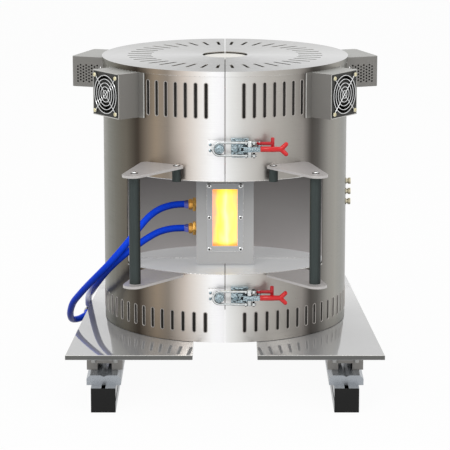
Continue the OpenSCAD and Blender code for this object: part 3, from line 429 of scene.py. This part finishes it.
def finishPiece(name, bm, finishes, body, replaced=(), sharp=35, side=1):
    finishes = [finishes] if isinstance(finishes, str) else finishes
    bmesh.ops.transform(bm, matrix=furnaceMatrix @ Matrix.Diagonal((side, 1, 1, 1)), verts=bm.verts)
    bmesh.ops.remove_doubles(bm, verts=bm.verts, dist=2e-6)
    bmesh.ops.recalc_face_normals(bm, faces=bm.faces)
    mesh = bpy.data.meshes.new(name)
    bm.to_mesh(mesh)
    bm.free()
    piece = makeObject(name, mesh, finishes, sharp)
    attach(piece, body)
    if replaced:
        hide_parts(*replaced)


# Water hoses, from the window's fittings to the manifold under the deck
hoseLooks = {
    "upper": {"length": 0.575, "route": [
        (-74, -140, 260), (-90, -140, 260), (-110, -143, 258), (-132, -152, 252), (-152, -165, 240),
        (-170, -178, 222), (-190, -189, 198), (-212, -193, 172), (-234, -187, 146), (-256, -168, 120),
        (-277, -142, 94), (-296, -113, 68), (-312, -83, 43), (-320, -54, 19), (-322.4, -25, -1),
        (-320, 3, -15), (-310, 29, -21), (-300, 54, -22), (-295, 68, -21), (-294, 80, -20)]},
    "lower": {"length": 0.56, "route": [
        (-74, -140, 211), (-90, -140, 211), (-110, -143, 210), (-132, -152, 206), (-152, -165, 198),
        (-172, -178, 187), (-194, -184, 172), (-216, -177, 152), (-235, -159, 130), (-251, -133, 107),
        (-264, -104, 85), (-273, -66, 66), (-279, -26, 51), (-284, 14, 38), (-288, 54, 24),
        (-291, 86, 11), (-293, 112, -3), (-294, 132, -14), (-294, 150, -20)]},
}
hoseDiameter = 14


def smoothRoute(points, steps=6):
    # A Catmull-Rom curve through the points of the route
    p = [Vector(points[0])] + [Vector(q) for q in points] + [Vector(points[-1])]
    line = []
    for a, b, c, d in zip(p, p[1:], p[2:], p[3:]):
        for i in range(steps):
            t = i / steps
            line.append(0.5 * (2 * b + (c - a) * t + (2 * a - 5 * b + 4 * c - d) * t ** 2
                               + (3 * b - a - 3 * c + d) * t ** 3))
    return line + [p[-1]]


def addTube(name, line, radius, material):
    curve = bpy.data.curves.new(name, "CURVE")
    curve.dimensions = "3D"
    curve.bevel_depth = radius
    curve.bevel_resolution = 5
    curve.use_fill_caps = True
    spline = curve.splines.new("POLY")
    spline.points.add(len(line) - 1)
    for point, place in zip(spline.points, line):
        point.co = (*place, 1)
    holder = bpy.data.objects.new(name + "Curve", curve)
    mesh = bpy.data.meshes.new_from_object(holder)
    mesh.transform(furnaceMatrix)
    bpy.data.objects.remove(holder)
    bpy.data.curves.remove(curve)
    mesh.materials.clear()
    return makeObject(name, mesh, [material], 50)


for name, look in hoseLooks.items():
    line = smoothRoute(look["route"])
    hose = addTube(name + "_hose", line, hoseDiameter / 2, "blueHose")
    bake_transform(hose)
    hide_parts("water_hose_" + name)
print("hoses done")

# CAD nodes that keep their shape and get their finish
finishNodes = {
    "brushedStainless": "shell", "shadedCasing": "inner_casing", "lidStainless": "top_plate",
    "recessSheet": "recess_liner", "ceramicFibre": "insulation window_insulation", "hotRod": "heating_rods",
    "turnedSteel": "hinge_knuckles hinge_post hinge_pin deck_bolts water_manifold",
    "greyPaint": "fan_duct terminal_box", "fanPlastic": "fan_frame fan_rotor", "chromeWire": "fan_guard",
    "creamScrew": "fasteners window_screws", "satinPlate": "handle_plates", "blackAnodised": "handle_grip",
    "zincPlate": "latch_lever latch_catches latch_bases", "redVinyl": "latch_grip", "zincWire": "latch_bow",
    "darkRedVinyl": "latch_release", "anodisedProfile": "profile_left profile_right",
    "blackCap": "profile_end_caps", "groundRail": "guide_rails", "mirrorPolish": "deck_plate",
    "milledBlock": "slide_blocks", "windowBox": "window_housing", "windowFrame": "window_frame",
    "glowingGlass": "window_glass", "machinedBrass": "water_nipples", "ceramicBoard": "top_plug",
    "warmNickel": "side_connectors", "blueHose": "water_hose_upper water_hose_lower"}
nodeFinish = {node: look for look, nodes in finishNodes.items() for node in nodes.split()}
for name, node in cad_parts.items():
    kind = name if name in nodeFinish else name.split("_", 1)[1]
    node.data.materials.clear()
    node.data.materials.append(finish[nodeFinish[kind]])
print("node finishes done")

sides = {"left": -1, "right": 1}


def addScrew(bm, radius, height, matrix, dip=0.45, dark=0):
    # A domed head with a round socket; dark is the socket's material
    old = set(bm.faces)
    addTurned(bm, [(0, 0), (radius, 0), (radius, height * 0.45), (radius * 0.8, height * 0.85),
                   (radius * dip, height), (radius * dip * 0.8, height * 0.45), (0, height * 0.45)], steps=20)
    made = [f for f in bm.faces if f not in old]
    for f in made:
        middle = f.calc_center_median()
        if dark and middle.to_2d().length < radius * dip * 0.9 and middle.z > 0.1:
            f.material_index = dark
    bmesh.ops.transform(bm, matrix=matrix, verts=list({v for f in made for v in f.verts}))


# Punched slots: each has a rolled rim, drawn through rings that grow and rise from the slot's edge
shellRadius = 250
ventLooks = {
    "upper": {"first": 8.5, "pitch": 4.8, "count": 7, "low": 452, "high": 522, "width": 7},
    "lower": {"first": 9, "pitch": 5.3, "count": 31, "low": 21, "high": 62, "width": 7}}
rimLook = {"steps": 16, "growAndRise": [(-0.5, -1.2), (-0.4, 0.3), (0.1, 0.75), (0.8, 0.7), (1.2, -0.2)]}


def addRim(bm, azimuth, look):
    rings = []
    for grow, rise in rimLook["growAndRise"]:
        made = bmesh.ops.create_circle(bm, segments=rimLook["steps"], radius=look["width"] / 2 + grow,
                                       matrix=turned("X", 90) @ turned("Z", 180 / rimLook["steps"]))
        for v in made["verts"]:
            end = look["high"] - look["width"] / 2 if v.co.z > 0 else look["low"] + look["width"] / 2
            z, about = v.co.z + end, v.co.x / shellRadius
            v.co = turned("Z", azimuth + math.degrees(about)) @ Vector((0, -shellRadius - rise, z))
        rings.append(edgesOf(made["verts"]))
    for inner, outer in zip(rings, rings[1:]):
        bmesh.ops.bridge_loops(bm, edges=inner + outer)


for half, side in sides.items():
    bm = bmesh.new()
    for look in ventLooks.values():
        for i in range(look["count"]):
            addRim(bm, look["first"] + i * look["pitch"], look)
    finishPiece(half + "_slot_rims", bm, "rolledRim", half + "_half", side=side)
print("slot rims done")

# Fan duct, the round-wire guard on it, handle plates and the bolts of the hinge
ductLook = {
    "azimuth": 53, "height": 489.5, "half": 45, "face": 295, "low": 444.5, "high": 534.5, "sheet": 1.7,
    "proud": 0.3, "sunk": 0.6, "fold": 0.5, "flange": 59, "flangeReach": 252.3, "bead": 1.3}
guardLook = {
    "gap": 1.2, "rings": (7.6, 15.2, 22.8, 30.4, 37.9), "wire": 0.85, "eye": 3.2, "eyeWire": 0.9,
    "cross": 0.95, "crossInset": 2, "layer": 0.1}
fanScrewLook = {"spot": 35.75, "radius": 4.2, "height": 2.7, "shank": 1.9, "root": 272, "proud": 0.7}
leafLook = {
    "circles": ((178, -336, 20), (95, -246.25, 13), (155, -215, 13)), "levels": (135.5, 353.5),
    "thick": 5, "bead": 0.4, "screws": ((175, -325), (95, -246.25)), "washer": 7.4, "washerThick": 0.5,
    "head": 5.2, "headHeight": 2.9, "headLift": 0.2}
hingeBolts = {
    "levels": (80, 390), "otherHalf": 40.2, "azimuths": (168, 173.5), "radius": 4.6,
    "reach": (254.2, 257.3)}
ductPlace = turned("Z", ductLook["azimuth"]) @ moved(0, 0, ductLook["height"])
guardFront = -ductLook["face"] - guardLook["gap"]
fanScrews = [(x * fanScrewLook["spot"], z * fanScrewLook["spot"]) for x in (-1, 1) for z in (-1, 1)]
leafTop = leafLook["levels"][1] + leafLook["thick"]
for half, side in sides.items():
    bm = bmesh.new()
    for radius in guardLook["rings"]:
        addHoop(bm, radius, guardLook["wire"],
                ductPlace @ moved(0, guardFront - guardLook["layer"], 0) @ turned("X", 90))
    for x, z in fanScrews:
        addHoop(bm, guardLook["eye"], guardLook["eyeWire"], ductPlace @ moved(x, guardFront, z) @ turned("X", 90),
                steps=20)
    for x in (-1, 1):
        spot, depth = fanScrewLook["spot"] - guardLook["crossInset"], guardFront + 2 * guardLook["layer"]
        addRod(bm, (-x * spot, depth, -spot), (x * spot, depth, spot), guardLook["cross"], 10, matrix=ductPlace)
    finishPiece(half + "_wire_guard", bm, "chromeWire", half + "_half",
                [half + "_fan_guard"], side=side)

    bm = bmesh.new()
    for x, z in fanScrews:
        addScrew(bm, fanScrewLook["radius"], fanScrewLook["height"],
                 ductPlace @ moved(x, guardFront - fanScrewLook["proud"], z) @ turned("X", 90))
        addRod(bm, (x, -fanScrewLook["root"], z), (x, guardFront, z), fanScrewLook["shank"], 10, matrix=ductPlace)
    for x, y in leafLook["screws"]:
        old = set(bm.faces)
        rim, thick = leafLook["washer"], leafLook["washerThick"]
        # The washer takes the shadowed socket's colour: painted shade round the head
        addTurned(bm, [(0, 0), (rim, 0), (rim, thick), (0, thick)], moved(x, y, leafTop))
        paintNew(bm, old, 2)
        addScrew(bm, leafLook["head"], leafLook["headHeight"], moved(x, y, leafTop + leafLook["headLift"]), dark=2)
        paintNew(bm, old, 1)
    inner, outer = hingeBolts["reach"]
    for level in hingeBolts["levels"]:
        for azimuth in hingeBolts["azimuths"]:
            lift = level + (hingeBolts["otherHalf"] if side > 0 else 0)
            addRod(bm, (0, -inner, lift), (0, -outer, lift), hingeBolts["radius"], 6, 0.4, turned("Z", azimuth))
    finishPiece(half + "_screw_heads", bm, ["creamScrew", "chromeWire", "darkSocket"], half + "_half",
                [half + "_fasteners"], side=side)

    # Painted highlight on the edges of the duct's sheet, and a highlight bead along each flange
    bm = bmesh.new()
    h, cut, fold = ductLook["half"], ductLook["half"] - ductLook["sheet"], ductLook["fold"]
    front, back = -ductLook["face"] - ductLook["proud"], -ductLook["face"] + ductLook["sunk"]
    for x0, z0, x1, z1 in ((-h, cut, h, h), (-h, -h, h, -cut), (-h, -h, -cut, h), (cut, -h, h, h)):
        addBox(bm, (x0, front, z0), (x1, back, z1), 0.15, ductPlace)
    for x in (-1, 1):
        turn = math.degrees(math.asin(ductLook["flange"] / ductLook["flangeReach"]))
        edge = turned("Z", ductLook["azimuth"] + x * turn)
        reach = ductLook["flangeReach"] - ductLook["sunk"]
        addRod(bm, (0, -reach, ductLook["low"] + fold), (0, -reach, ductLook["high"] - fold), ductLook["bead"], 12,
               matrix=edge)
    for x in (-h + 0.4, h - 0.4):
        addRod(bm, (x, -ductLook["face"], h - 0.3), (x, -shellRadius, h - 0.3), fold, 8, matrix=ductPlace)
    finishPiece(half + "_duct_edges", bm, "paintEdge", half + "_half", side=side)

    # Painted highlight on the laser-cut edges of the handle plates, where they face the room
    bm = bmesh.new()
    corners = [spot for circle in leafLook["circles"] for spot in arc(*circle, 0, 360, 40)]
    loop = [corners[i] for i in convex_hull_2d(corners)]
    bead = leafLook["bead"]
    for level in leafLook["levels"]:
        for a, b in zip(loop, loop[1:] + loop[:1]):
            if b[0] > a[0] and min(math.hypot(*a), math.hypot(*b)) > shellRadius:
                for z in (level + bead, level + leafLook["thick"] - bead):
                    addRod(bm, (*a, z), (*b, z), bead, 6)
    finishPiece(half + "_plate_edges", bm, "paintEdge", half + "_half", side=side)
print("fan guards, screws, duct and plate edges done")

# Terminal boxes: hook-up wires seen through the holes, each with its height and start, and painted highlight lines
# along the folds
boxLook = {
    "azimuth": 110, "reach": 316.5, "half": 60, "low": 472, "high": 534.5, "round": 7, "fold": 0.45,
    "wires": ((520, 30, 4), (513, 24, 2)), "wire": 2.2, "wireInset": 12, "wireEnd": 262, "wireDrift": 8}
for half, side in sides.items():
    bm = bmesh.new()
    place = turned("Z", boxLook["azimuth"])
    for lift, start, climb in boxLook["wires"]:
        addRod(bm, (-start, boxLook["wireInset"] - boxLook["reach"], lift),
               (boxLook["wireDrift"] - start, -boxLook["wireEnd"], lift + climb), boxLook["wire"], 10,
               matrix=place)
    finishPiece(half + "_terminal_wires", bm, "redWire", half + "_half", side=side)

    bm = bmesh.new()
    wide, front, corner = boxLook["half"] - 0.5, 0.5 - boxLook["reach"], boxLook["round"]
    for lift in (boxLook["low"] + 0.5, boxLook["high"] - 0.5):
        for x in (-wide, wide):
            addRod(bm, (x, corner - boxLook["reach"], lift), (x, -246, lift), boxLook["fold"], 8, matrix=place)
        addRod(bm, (corner - boxLook["half"], front, lift), (boxLook["half"] - corner, front, lift),
               boxLook["fold"], 8, matrix=place)
    finishPiece(half + "_box_edges", bm, "paintEdge", half + "_half", side=side)
print("terminal boxes done")

# Window: half widths and half heights from its middle; each edge gets a thin painted highlight line
windowLook = {
    "front": 172, "middle": 239, "frame": (36.5, 69.45, 171.8), "opening": (25.3, 58.25, 171.9),
    "edge": 0.35, "screws": (31.5, 64.85), "head": 4.3, "headHeight": 1.6, "shank": 1.9, "root": 165.5}
housingLook = {"half": 57.1, "front": 169.6, "low": 144.5, "high": 326.5, "edge": 0.4}
middle = windowLook["middle"]
bm = bmesh.new()
for wide, tall, depth in (windowLook["frame"], windowLook["opening"]):
    low, high = middle - tall, middle + tall
    for x in (-wide, wide):
        addRod(bm, (x, -depth, low), (x, -depth, high), windowLook["edge"], 8)
    for z in (low, high):
        addRod(bm, (-wide, -depth, z), (wide, -depth, z), windowLook["edge"], 8)
wide, front, low = housingLook["half"], -housingLook["front"], housingLook["low"]
for x in (-wide, wide):
    addRod(bm, (x, front, low), (x, front, housingLook["high"]), housingLook["edge"], 8)
addRod(bm, (-wide, front, low - 0.1), (wide, front, low - 0.1), housingLook["edge"], 8)
finishPiece("window_edges", bm, "brightEdge", "left_half")

bm = bmesh.new()
wide, tall = windowLook["screws"]
for x in (-wide, wide):
    for z in (middle - tall, middle, middle + tall):
        addScrew(bm, windowLook["head"], windowLook["headHeight"],
                 moved(x, -windowLook["front"], z) @ turned("X", 90), dip=0.5, dark=1)
        addRod(bm, (x, -windowLook["root"], z), (x, -windowLook["front"], z), windowLook["shank"], 10)
finishPiece("window_screw_heads", bm, ["chromeWire", "darkSocket"], "left_half",
            ["window_screws"])

# Brass fittings: a hexagon, then a turned and grooved end that the hose's flare grips
brassLook = {
    "heights": (260, 211), "y": -140, "start": 57.5, "hex": 14.5, "hexEnds": (1, 7.6), "hexBevel": 0.7,
    "profile": [(0, 0), (8.6, 0), (8.6, 8.6), (10.4, 9), (11, 9.6), (11, 10.6), (10.3, 11), (10.3, 11.4),
                (11, 11.8), (11, 12.8), (10.3, 13.2), (10.3, 13.6), (11, 14), (11, 14.8), (10, 15.4),
                (8.4, 16.5), (0, 16.5)]}
flareLook = {"start": 74, "profile": [(0, 0), (8.4, 0), (8.5, 2), (8.1, 4.5), (7.5, 6.5), (7.1, 8), (0, 8)]}
bm = bmesh.new()
for z in brassLook["heights"]:
    place = moved(-brassLook["start"], brassLook["y"], z) @ turned("Y", -90)
    low, high = brassLook["hexEnds"]
    addRod(bm, (0, 0, low), (0, 0, high), brassLook["hex"], 6, brassLook["hexBevel"], place)
    addTurned(bm, brassLook["profile"], place)
finishPiece("brass_fittings", bm, "machinedBrass", "left_half", ["water_nipples"])
bm = bmesh.new()
for z in brassLook["heights"]:
    addTurned(bm, flareLook["profile"], moved(-flareLook["start"], brassLook["y"], z) @ turned("Y", -90))
finishPiece("hose_flares", bm, "lilacFlare", "left_half")
print("window done")

# Painted highlight lines on the sheared edges round the recess, the fold across its floor, and the lid's rolled
# edge
recessLook = {
    "edges": (140.2, 327.7), "angle": 51.4, "radius": 249.7, "wire": 0.75,
    "foldEnds": (60, 195), "foldY": -108, "foldZ": 142, "fold": 0.6}
lidEdgeLook = {"radius": 251.4, "height": 535.2, "wire": 0.6, "angle": 179.2}
seamTurn = turned("Z", -89.8)  # starts each hoop beside the seam of the halves
for half, side in sides.items():
    bm = bmesh.new()
    for z in recessLook["edges"]:
        addHoop(bm, recessLook["radius"], recessLook["wire"], moved(0, 0, z) @ seamTurn, 40,
                math.radians(recessLook["angle"]))
    start, end = [(x, recessLook["foldY"], recessLook["foldZ"]) for x in recessLook["foldEnds"]]
    addRod(bm, start, end, recessLook["fold"], 8)
    addHoop(bm, lidEdgeLook["radius"], lidEdgeLook["wire"], moved(0, 0, lidEdgeLook["height"]) @ seamTurn, 80,
            math.radians(lidEdgeLook["angle"]))
    finishPiece(half + "_recess_edges", bm, "brightEdge", half + "_half", side=side)

# Toggle latches, each about its own height; pivot, bow and release are pins seen from above
latchLook = {
    "heights": {"upper": 396, "lower": 98}, "pivot": (30, -268), "bow": (48, -272),
    "release": (67, -258), "wire": 2.45, "rodZ": 12.5, "ringX": -11}
catchLook = {
    "plate": ((-34, -254, -14), (-1.7, -248.2, 14)), "plateBevel": 0.9, "rivetX": -29, "rivetZ": 6,
    "rivet": (3, 3.8), "face": -254,
    "profile": [(0, 0), (9.5, 0), (9.5, 9), (8.7, 9.8), (8.7, 12.4), (9.5, 13.2), (9.5, 25.5), (8.6, 27),
                (6.6, 27.4), (5.7, 27.8), (5.7, 29.2), (5, 30), (3, 30), (2.4, 28.8), (0, 28.8)]}
bm = bmesh.new()
for z in latchLook["heights"].values():
    at = moved(0, 0, z)
    old = set(bm.faces)
    addBox(bm, *catchLook["plate"], catchLook["plateBevel"], at)
    paintNew(bm, old, 1)
    addTurned(bm, catchLook["profile"], at @ moved(latchLook["ringX"], -shellRadius, 0) @ turned("X", 90))
    for dz in (-catchLook["rivetZ"], catchLook["rivetZ"]):
        addScrew(bm, *catchLook["rivet"], at @ moved(catchLook["rivetX"], catchLook["face"], dz) @ turned("X", 90),
                 dip=0.3)
finishPiece("latch_hooks", bm, ["zincPlate", "lidStainless"], "left_half", ["latch_catches"])

# Stand: a base with two folded lips, two cheeks and the pivot pin
px, py = latchLook["pivot"]
standLook = {
    "base": ((12, -254, -19), (46, -248, 19)), "lipX": (13, 45), "lipY": (-258.5, -253), "lipZ": 18,
    "cheeks": (-8.5, 5.55), "cheekThick": 2.95, "cheekBevel": 0.5, "rivetX": (18, 40), "rivetZ": 13.2,
    "rivet": [(0, 0), (2.8, 0), (2.7, 1.4), (1.7, 2.6), (0, 3)], "pin": 2.9, "pinHalf": 9.5,
    "collar": 4.4, "collarEnds": (8.4, 9.6)}
cheek = [(16, -249), (42, -249), (42, -262)] + arc(px, py, 8, 20, -200, 14) + [(16, -262)]
bm = bmesh.new()
for z in latchLook["heights"].values():
    at = moved(0, 0, z)
    addBox(bm, *standLook["base"], 0.8, at)
    for dz, cheekLow in zip((-1, 1), standLook["cheeks"]):
        (left, right), (front, back) = standLook["lipX"], standLook["lipY"]
        addBox(bm, (left, front, dz * standLook["lipZ"] - 1), (right, back, dz * standLook["lipZ"] + 1), 0.6, at)
        addPlate(bm, cheek, cheekLow, cheekLow + standLook["cheekThick"], standLook["cheekBevel"], at)
        for x in standLook["rivetX"]:
            addTurned(bm, standLook["rivet"], at @ moved(x, -254, dz * standLook["rivetZ"]) @ turned("X", 90), 16)
        low, high = standLook["collarEnds"]
        addRod(bm, (px, py, dz * low), (px, py, dz * high), standLook["collar"], 16, 0.4, at)
    addRod(bm, (px, py, -standLook["pinHalf"]), (px, py, standLook["pinHalf"]), standLook["pin"], 16, 0.5, at)
finishPiece("latch_stands", bm, "zincPlate", "right_half", ["latch_bases"])

leverLook = {
    "flank": [(30, -274.4), (48, -279.6), (58, -277.4), (68, -276), (68, -268), (56, -267),
              (48, -264.4), (30, -261.8)],
    "arm": [(52, -268), (62, -270), (71.2, -260), (69, -254.6), (64, -254.8)],
    "flankZ": (-5, 3.4), "flankThick": 1.6, "armZ": (-3, 1.6), "armThick": 1.4, "pivotEye": 6.4,
    "bowEye": 7.9, "web": ((36, -277.2, -3.6), (67.6, -275.2, 3.6)),
    "tang": ((66, -275, -3.4), (78, -269, 3.4)),
    "post": (4.4, -3, 6), "postPin": (1.9, 5, 13), "screwX": (38, 58), "screwY": -277.2}
gripLook = {
    "start": 69, "fork": 109, "tine": (119, 9.8), "tineRadius": 5.0, "tipRadius": 4.2, "ball": 4.3,
    "crotch": (110, 5.1),
    "profile": [(0, 0), (4.6, 0), (5.5, 0.8), (5.5, 24), (5.0, 34), (5.2, 40), (4.8, 44), (0, 46)]}
bowLook = {
    "rodEnd": 36.5, "sleeve": (36.2, 45, 2.5), "threadStart": 44, "nuts": ((54.2, 58.8), (39.6, 42.4)),
    "nut": 5.4, "cross": 4.9, "crossHalf": 16.3,
    "thread": [(0, 0)] + [(2.65 if i % 2 else 2.2, 0.3 + i * 0.55) for i in range(32)] + [(0, 18)]}
releaseLook = {
    "height": 9,
    "ring": [(2.4, -2.4), (4.2, -2.4), (5, -1.6), (5, 1.6), (4.2, 2.4), (2.4, 2.4), (2.4, -2.4)],
    "stem": (3, 26), "stemRadius": 3.0, "bar": 3.7, "barZ": (-2.9, 20.9)}
bowX, bowY = latchLook["bow"]
rx, ry = latchLook["release"]
for name, z in latchLook["heights"].items():
    at = moved(0, 0, z)
    # Lever: two side plates, a web, the arm to the release and its post
    bm = bmesh.new()
    for low in leverLook["flankZ"]:
        high = low + leverLook["flankThick"]
        addPlate(bm, leverLook["flank"], low, high, 0.35, at)
        addRod(bm, (px, py, low), (px, py, high), leverLook["pivotEye"], 20, 0.3, at)
        addRod(bm, (bowX, bowY, low), (bowX, bowY, high), leverLook["bowEye"], 20, 0.3, at)
    for part in ("web", "tang"):
        addBox(bm, *leverLook[part], 0.4, at)
    for low in leverLook["armZ"]:
        addPlate(bm, leverLook["arm"], low, low + leverLook["armThick"], 0.3, at)
    for part, steps in (("post", 20), ("postPin", 12)):
        radius, low, high = leverLook[part]
        addRod(bm, (rx, ry, low), (rx, ry, high), radius, steps, 0.4, at)
    for x in leverLook["screwX"]:
        addScrew(bm, 2.3, 1.2, at @ moved(x, leverLook["screwY"], 0) @ turned("X", 90), dip=0.3)
    finishPiece(name + "_latch_handle", bm, "zincPlate", name + "_latch_lever", [name + "_latch_lever"])

    # Forked red grip
    bm = bmesh.new()
    addTurned(bm, gripLook["profile"], at @ moved(gripLook["start"], bowY, 0) @ turned("Y", 90), 24)
    tineX, tineZ = gripLook["tine"]
    for dz in (-tineZ, tineZ):
        addRod(bm, (gripLook["fork"], bowY, 0), (tineX, bowY, dz), gripLook["tineRadius"], 20, matrix=at,
               tip=gripLook["tipRadius"])
        bmesh.ops.create_uvsphere(bm, u_segments=20, v_segments=12, radius=gripLook["ball"],
                                  matrix=at @ moved(tineX, bowY, dz))
    crotchX, crotchRadius = gripLook["crotch"]
    bmesh.ops.create_uvsphere(bm, u_segments=20, v_segments=12, radius=crotchRadius,
                              matrix=at @ moved(crotchX, bowY, 0))
    finishPiece(name + "_red_grip", bm, "redVinyl", name + "_latch_lever", [name + "_latch_grip"],
                sharp=60)

    # Bow of round wire with threaded ends
    bm = bmesh.new()
    wire, ringX = latchLook["wire"], latchLook["ringX"]
    addHoop(bm, latchLook["rodZ"], wire, at @ moved(ringX, bowY, 0) @ turned("X", 90) @ turned("Z", 90), 24,
            math.pi)
    for lift in (-latchLook["rodZ"], latchLook["rodZ"]):
        addRod(bm, (ringX, bowY, lift), (bowLook["rodEnd"], bowY, lift), wire, 14, matrix=at)
        start, end, radius = bowLook["sleeve"]
        addRod(bm, (start, bowY, lift), (end, bowY, lift), radius, 14, matrix=at)
        addTurned(bm, bowLook["thread"], at @ moved(bowLook["threadStart"], bowY, lift) @ turned("Y", 90), 12)
        for start, end in bowLook["nuts"]:
            addRod(bm, (start, bowY, lift), (end, bowY, lift), bowLook["nut"], 6, 0.5, at)
    reach = bowLook["crossHalf"]
    addRod(bm, (bowX, bowY, -reach), (bowX, bowY, reach), bowLook["cross"], 20, 0.8, at)
    finishPiece(name + "_wire_bow", bm, "zincWire", name + "_latch_bow", [name + "_latch_bow"])

    # Dark red release
    bm = bmesh.new()
    height = releaseLook["height"]
    addTurned(bm, releaseLook["ring"], at @ moved(rx, ry, height), 24)
    start, end = [rx + x for x in releaseLook["stem"]]
    addRod(bm, (start, ry, height), (end, ry, height), releaseLook["stemRadius"], 18, matrix=at,
           tip=releaseLook["bar"])
    low, high = releaseLook["barZ"]
    addRod(bm, (end, ry, low), (end, ry, high), releaseLook["bar"], 18, 1.4, at)
    finishPiece(name + "_release_tab", bm, "darkRedVinyl", name + "_latch_release",
                [name + "_latch_release"])
print("latches done")

# Deck plate: polished top, darker side faces, a painted highlight line where they meet
deckLook = {"front": 312.5, "rear": 270.5, "halfLength": 342, "notch": 63.5, "thick": 10, "bevel": 0.9}
front, rear, reach, notch = [deckLook[key] for key in ("front", "rear", "halfLength", "notch")]
outline = [(notch, -reach), (front, -reach), (rear, reach), (-rear, reach), (-front, -reach), (-notch, -reach)]
outline += arc(0, 0, notch, 180, 0, 48)
bm = bmesh.new()
addPlate(bm, outline, -deckLook["thick"], 0, deckLook["bevel"], edgeIndex=1, rimIndex=2)
finishPiece("deck", bm, ["mirrorPolish", "darkerPlateSides", "brightEdge"], "carriage",
            ["deck_plate"])

# End caps of the profiles, with soft edges
capLook = {"x": 236, "half": 24, "thick": 3, "fronts": (-394, 615), "bevel": 0.9}
bm = bmesh.new()
for x in (-capLook["x"], capLook["x"]):
    for y in capLook["fronts"]:
        wide = capLook["half"]
        addBox(bm, (x - wide, y, -deckTop), (x + wide, y + capLook["thick"], 2 * wide - deckTop), capLook["bevel"])
finishPiece("end_caps", bm, "blackCap", "rail_frame", ["profile_end_caps"])

# Side connectors: a washer, a knurled ring and a bored tip
connectorLook = {
    "heights": (281.5, 260, 238.5), "start": 250.3,
    "profile": [(0, 0), (6.6, 0), (6.6, 1.2), (4.6, 1.3), (4.6, 3.8), (6.4, 4.2), (6.7, 4.8),
                (6.7, 6.2), (6.1, 6.5), (6.1, 7), (6.7, 7.3), (6.7, 9), (6, 9.9), (3, 9.9), (2.6, 7), (0, 7)]}
bm = bmesh.new()
for z in connectorLook["heights"]:
    addTurned(bm, connectorLook["profile"], moved(connectorLook["start"], 0, z) @ turned("Y", 90), 24)
finishPiece("round_connectors", bm, "warmNickel", "right_half", ["side_connectors"])
print("deck and small parts done")


# Floor and backdrop: white to the camera, with only a trace of the shadow
stageLook = {"colour": "#f4f4f4", "rough": 0.9, "size": 14, "drop": 0.0005, "white": 0.95}
worldLevel = 0.55
lampLooks = {
    "keyLamp": {"place": (-1.6, -3.2, 3.0), "aim": (0, 0, 0.4), "size": (1.8, 1.8), "watts": 42},
    "fillLamp": {"place": (2.6, -2.4, 1.8), "aim": (0, 0, 0.4), "size": (1.4, 1.8), "watts": 14},
    "topLamp": {"place": (0, 0.6, 3.2), "aim": (0, 0, 0.3), "size": (2.4, 2.4), "watts": 20}}


def cameraOrGlossy(tree):
    path = addNode(tree, "ShaderNodeLightPath")
    return path, addNode(tree, "ShaderNodeMath", {
        0: path.outputs["Is Camera Ray"], 1: path.outputs["Is Glossy Ray"]}, operation="MAXIMUM")


def makeStage():
    material, tree, shader = newMaterial("paleFloor")
    shader.inputs["Base Color"].default_value = hexColour(stageLook["colour"])
    shader.inputs["Roughness"].default_value = stageLook["rough"]
    glow = addNode(tree, "ShaderNodeEmission", {"Color": (1, 1, 1, 1), "Strength": 1.0})
    path, seen = cameraOrGlossy(tree)
    share = addNode(tree, "ShaderNodeMath", {0: seen.outputs[0], 1: stageLook["white"]}, operation="MULTIPLY")
    mix = addNode(tree, "ShaderNodeMixShader", {0: share.outputs[0], 1: shader.outputs[0], 2: glow.outputs[0]})
    tree.links.new(mix.outputs[0], tree.nodes["Material Output"].inputs["Surface"])
    bm = bmesh.new()
    bmesh.ops.create_grid(bm, x_segments=1, y_segments=1, size=stageLook["size"])
    mesh = bpy.data.meshes.new("floor")
    bm.to_mesh(mesh)
    bm.free()
    mesh.materials.append(material)
    floor = bpy.data.objects.new("floor", mesh)
    floor.location = (0, 0, -stageLook["drop"])
    scene.collection.objects.link(floor)


def makeWorld():
    world = bpy.data.worlds.new("studio")
    scene.world = world
    world.use_nodes = True
    tree = world.node_tree
    path, seen = cameraOrGlossy(tree)
    clear = addNode(tree, "ShaderNodeMath", {0: seen.outputs[0], 1: path.outputs["Is Transmission Ray"]},
                    operation="MAXIMUM")
    level = addNode(tree, "ShaderNodeMapRange", {"Value": clear.outputs[0], "To Min": worldLevel, "To Max": 1.0})
    back = tree.nodes["Background"]
    back.inputs["Color"].default_value = (1, 1, 1, 1)
    tree.links.new(level.outputs[0], back.inputs["Strength"])


def addLamp(name, look):
    data = bpy.data.lights.new(name, "AREA")
    data.shape = "RECTANGLE"
    data.size, data.size_y = look["size"]
    data.energy = look["watts"]
    lamp = bpy.data.objects.new(name, data)
    lamp.location = look["place"]
    lamp.rotation_euler = (Vector(look["aim"]) - Vector(look["place"])).to_track_quat("-Z", "Y").to_euler()
    scene.collection.objects.link(lamp)


makeStage()
makeWorld()
for name, look in lampLooks.items():
    addLamp(name, look)
print("stage and lamps done")
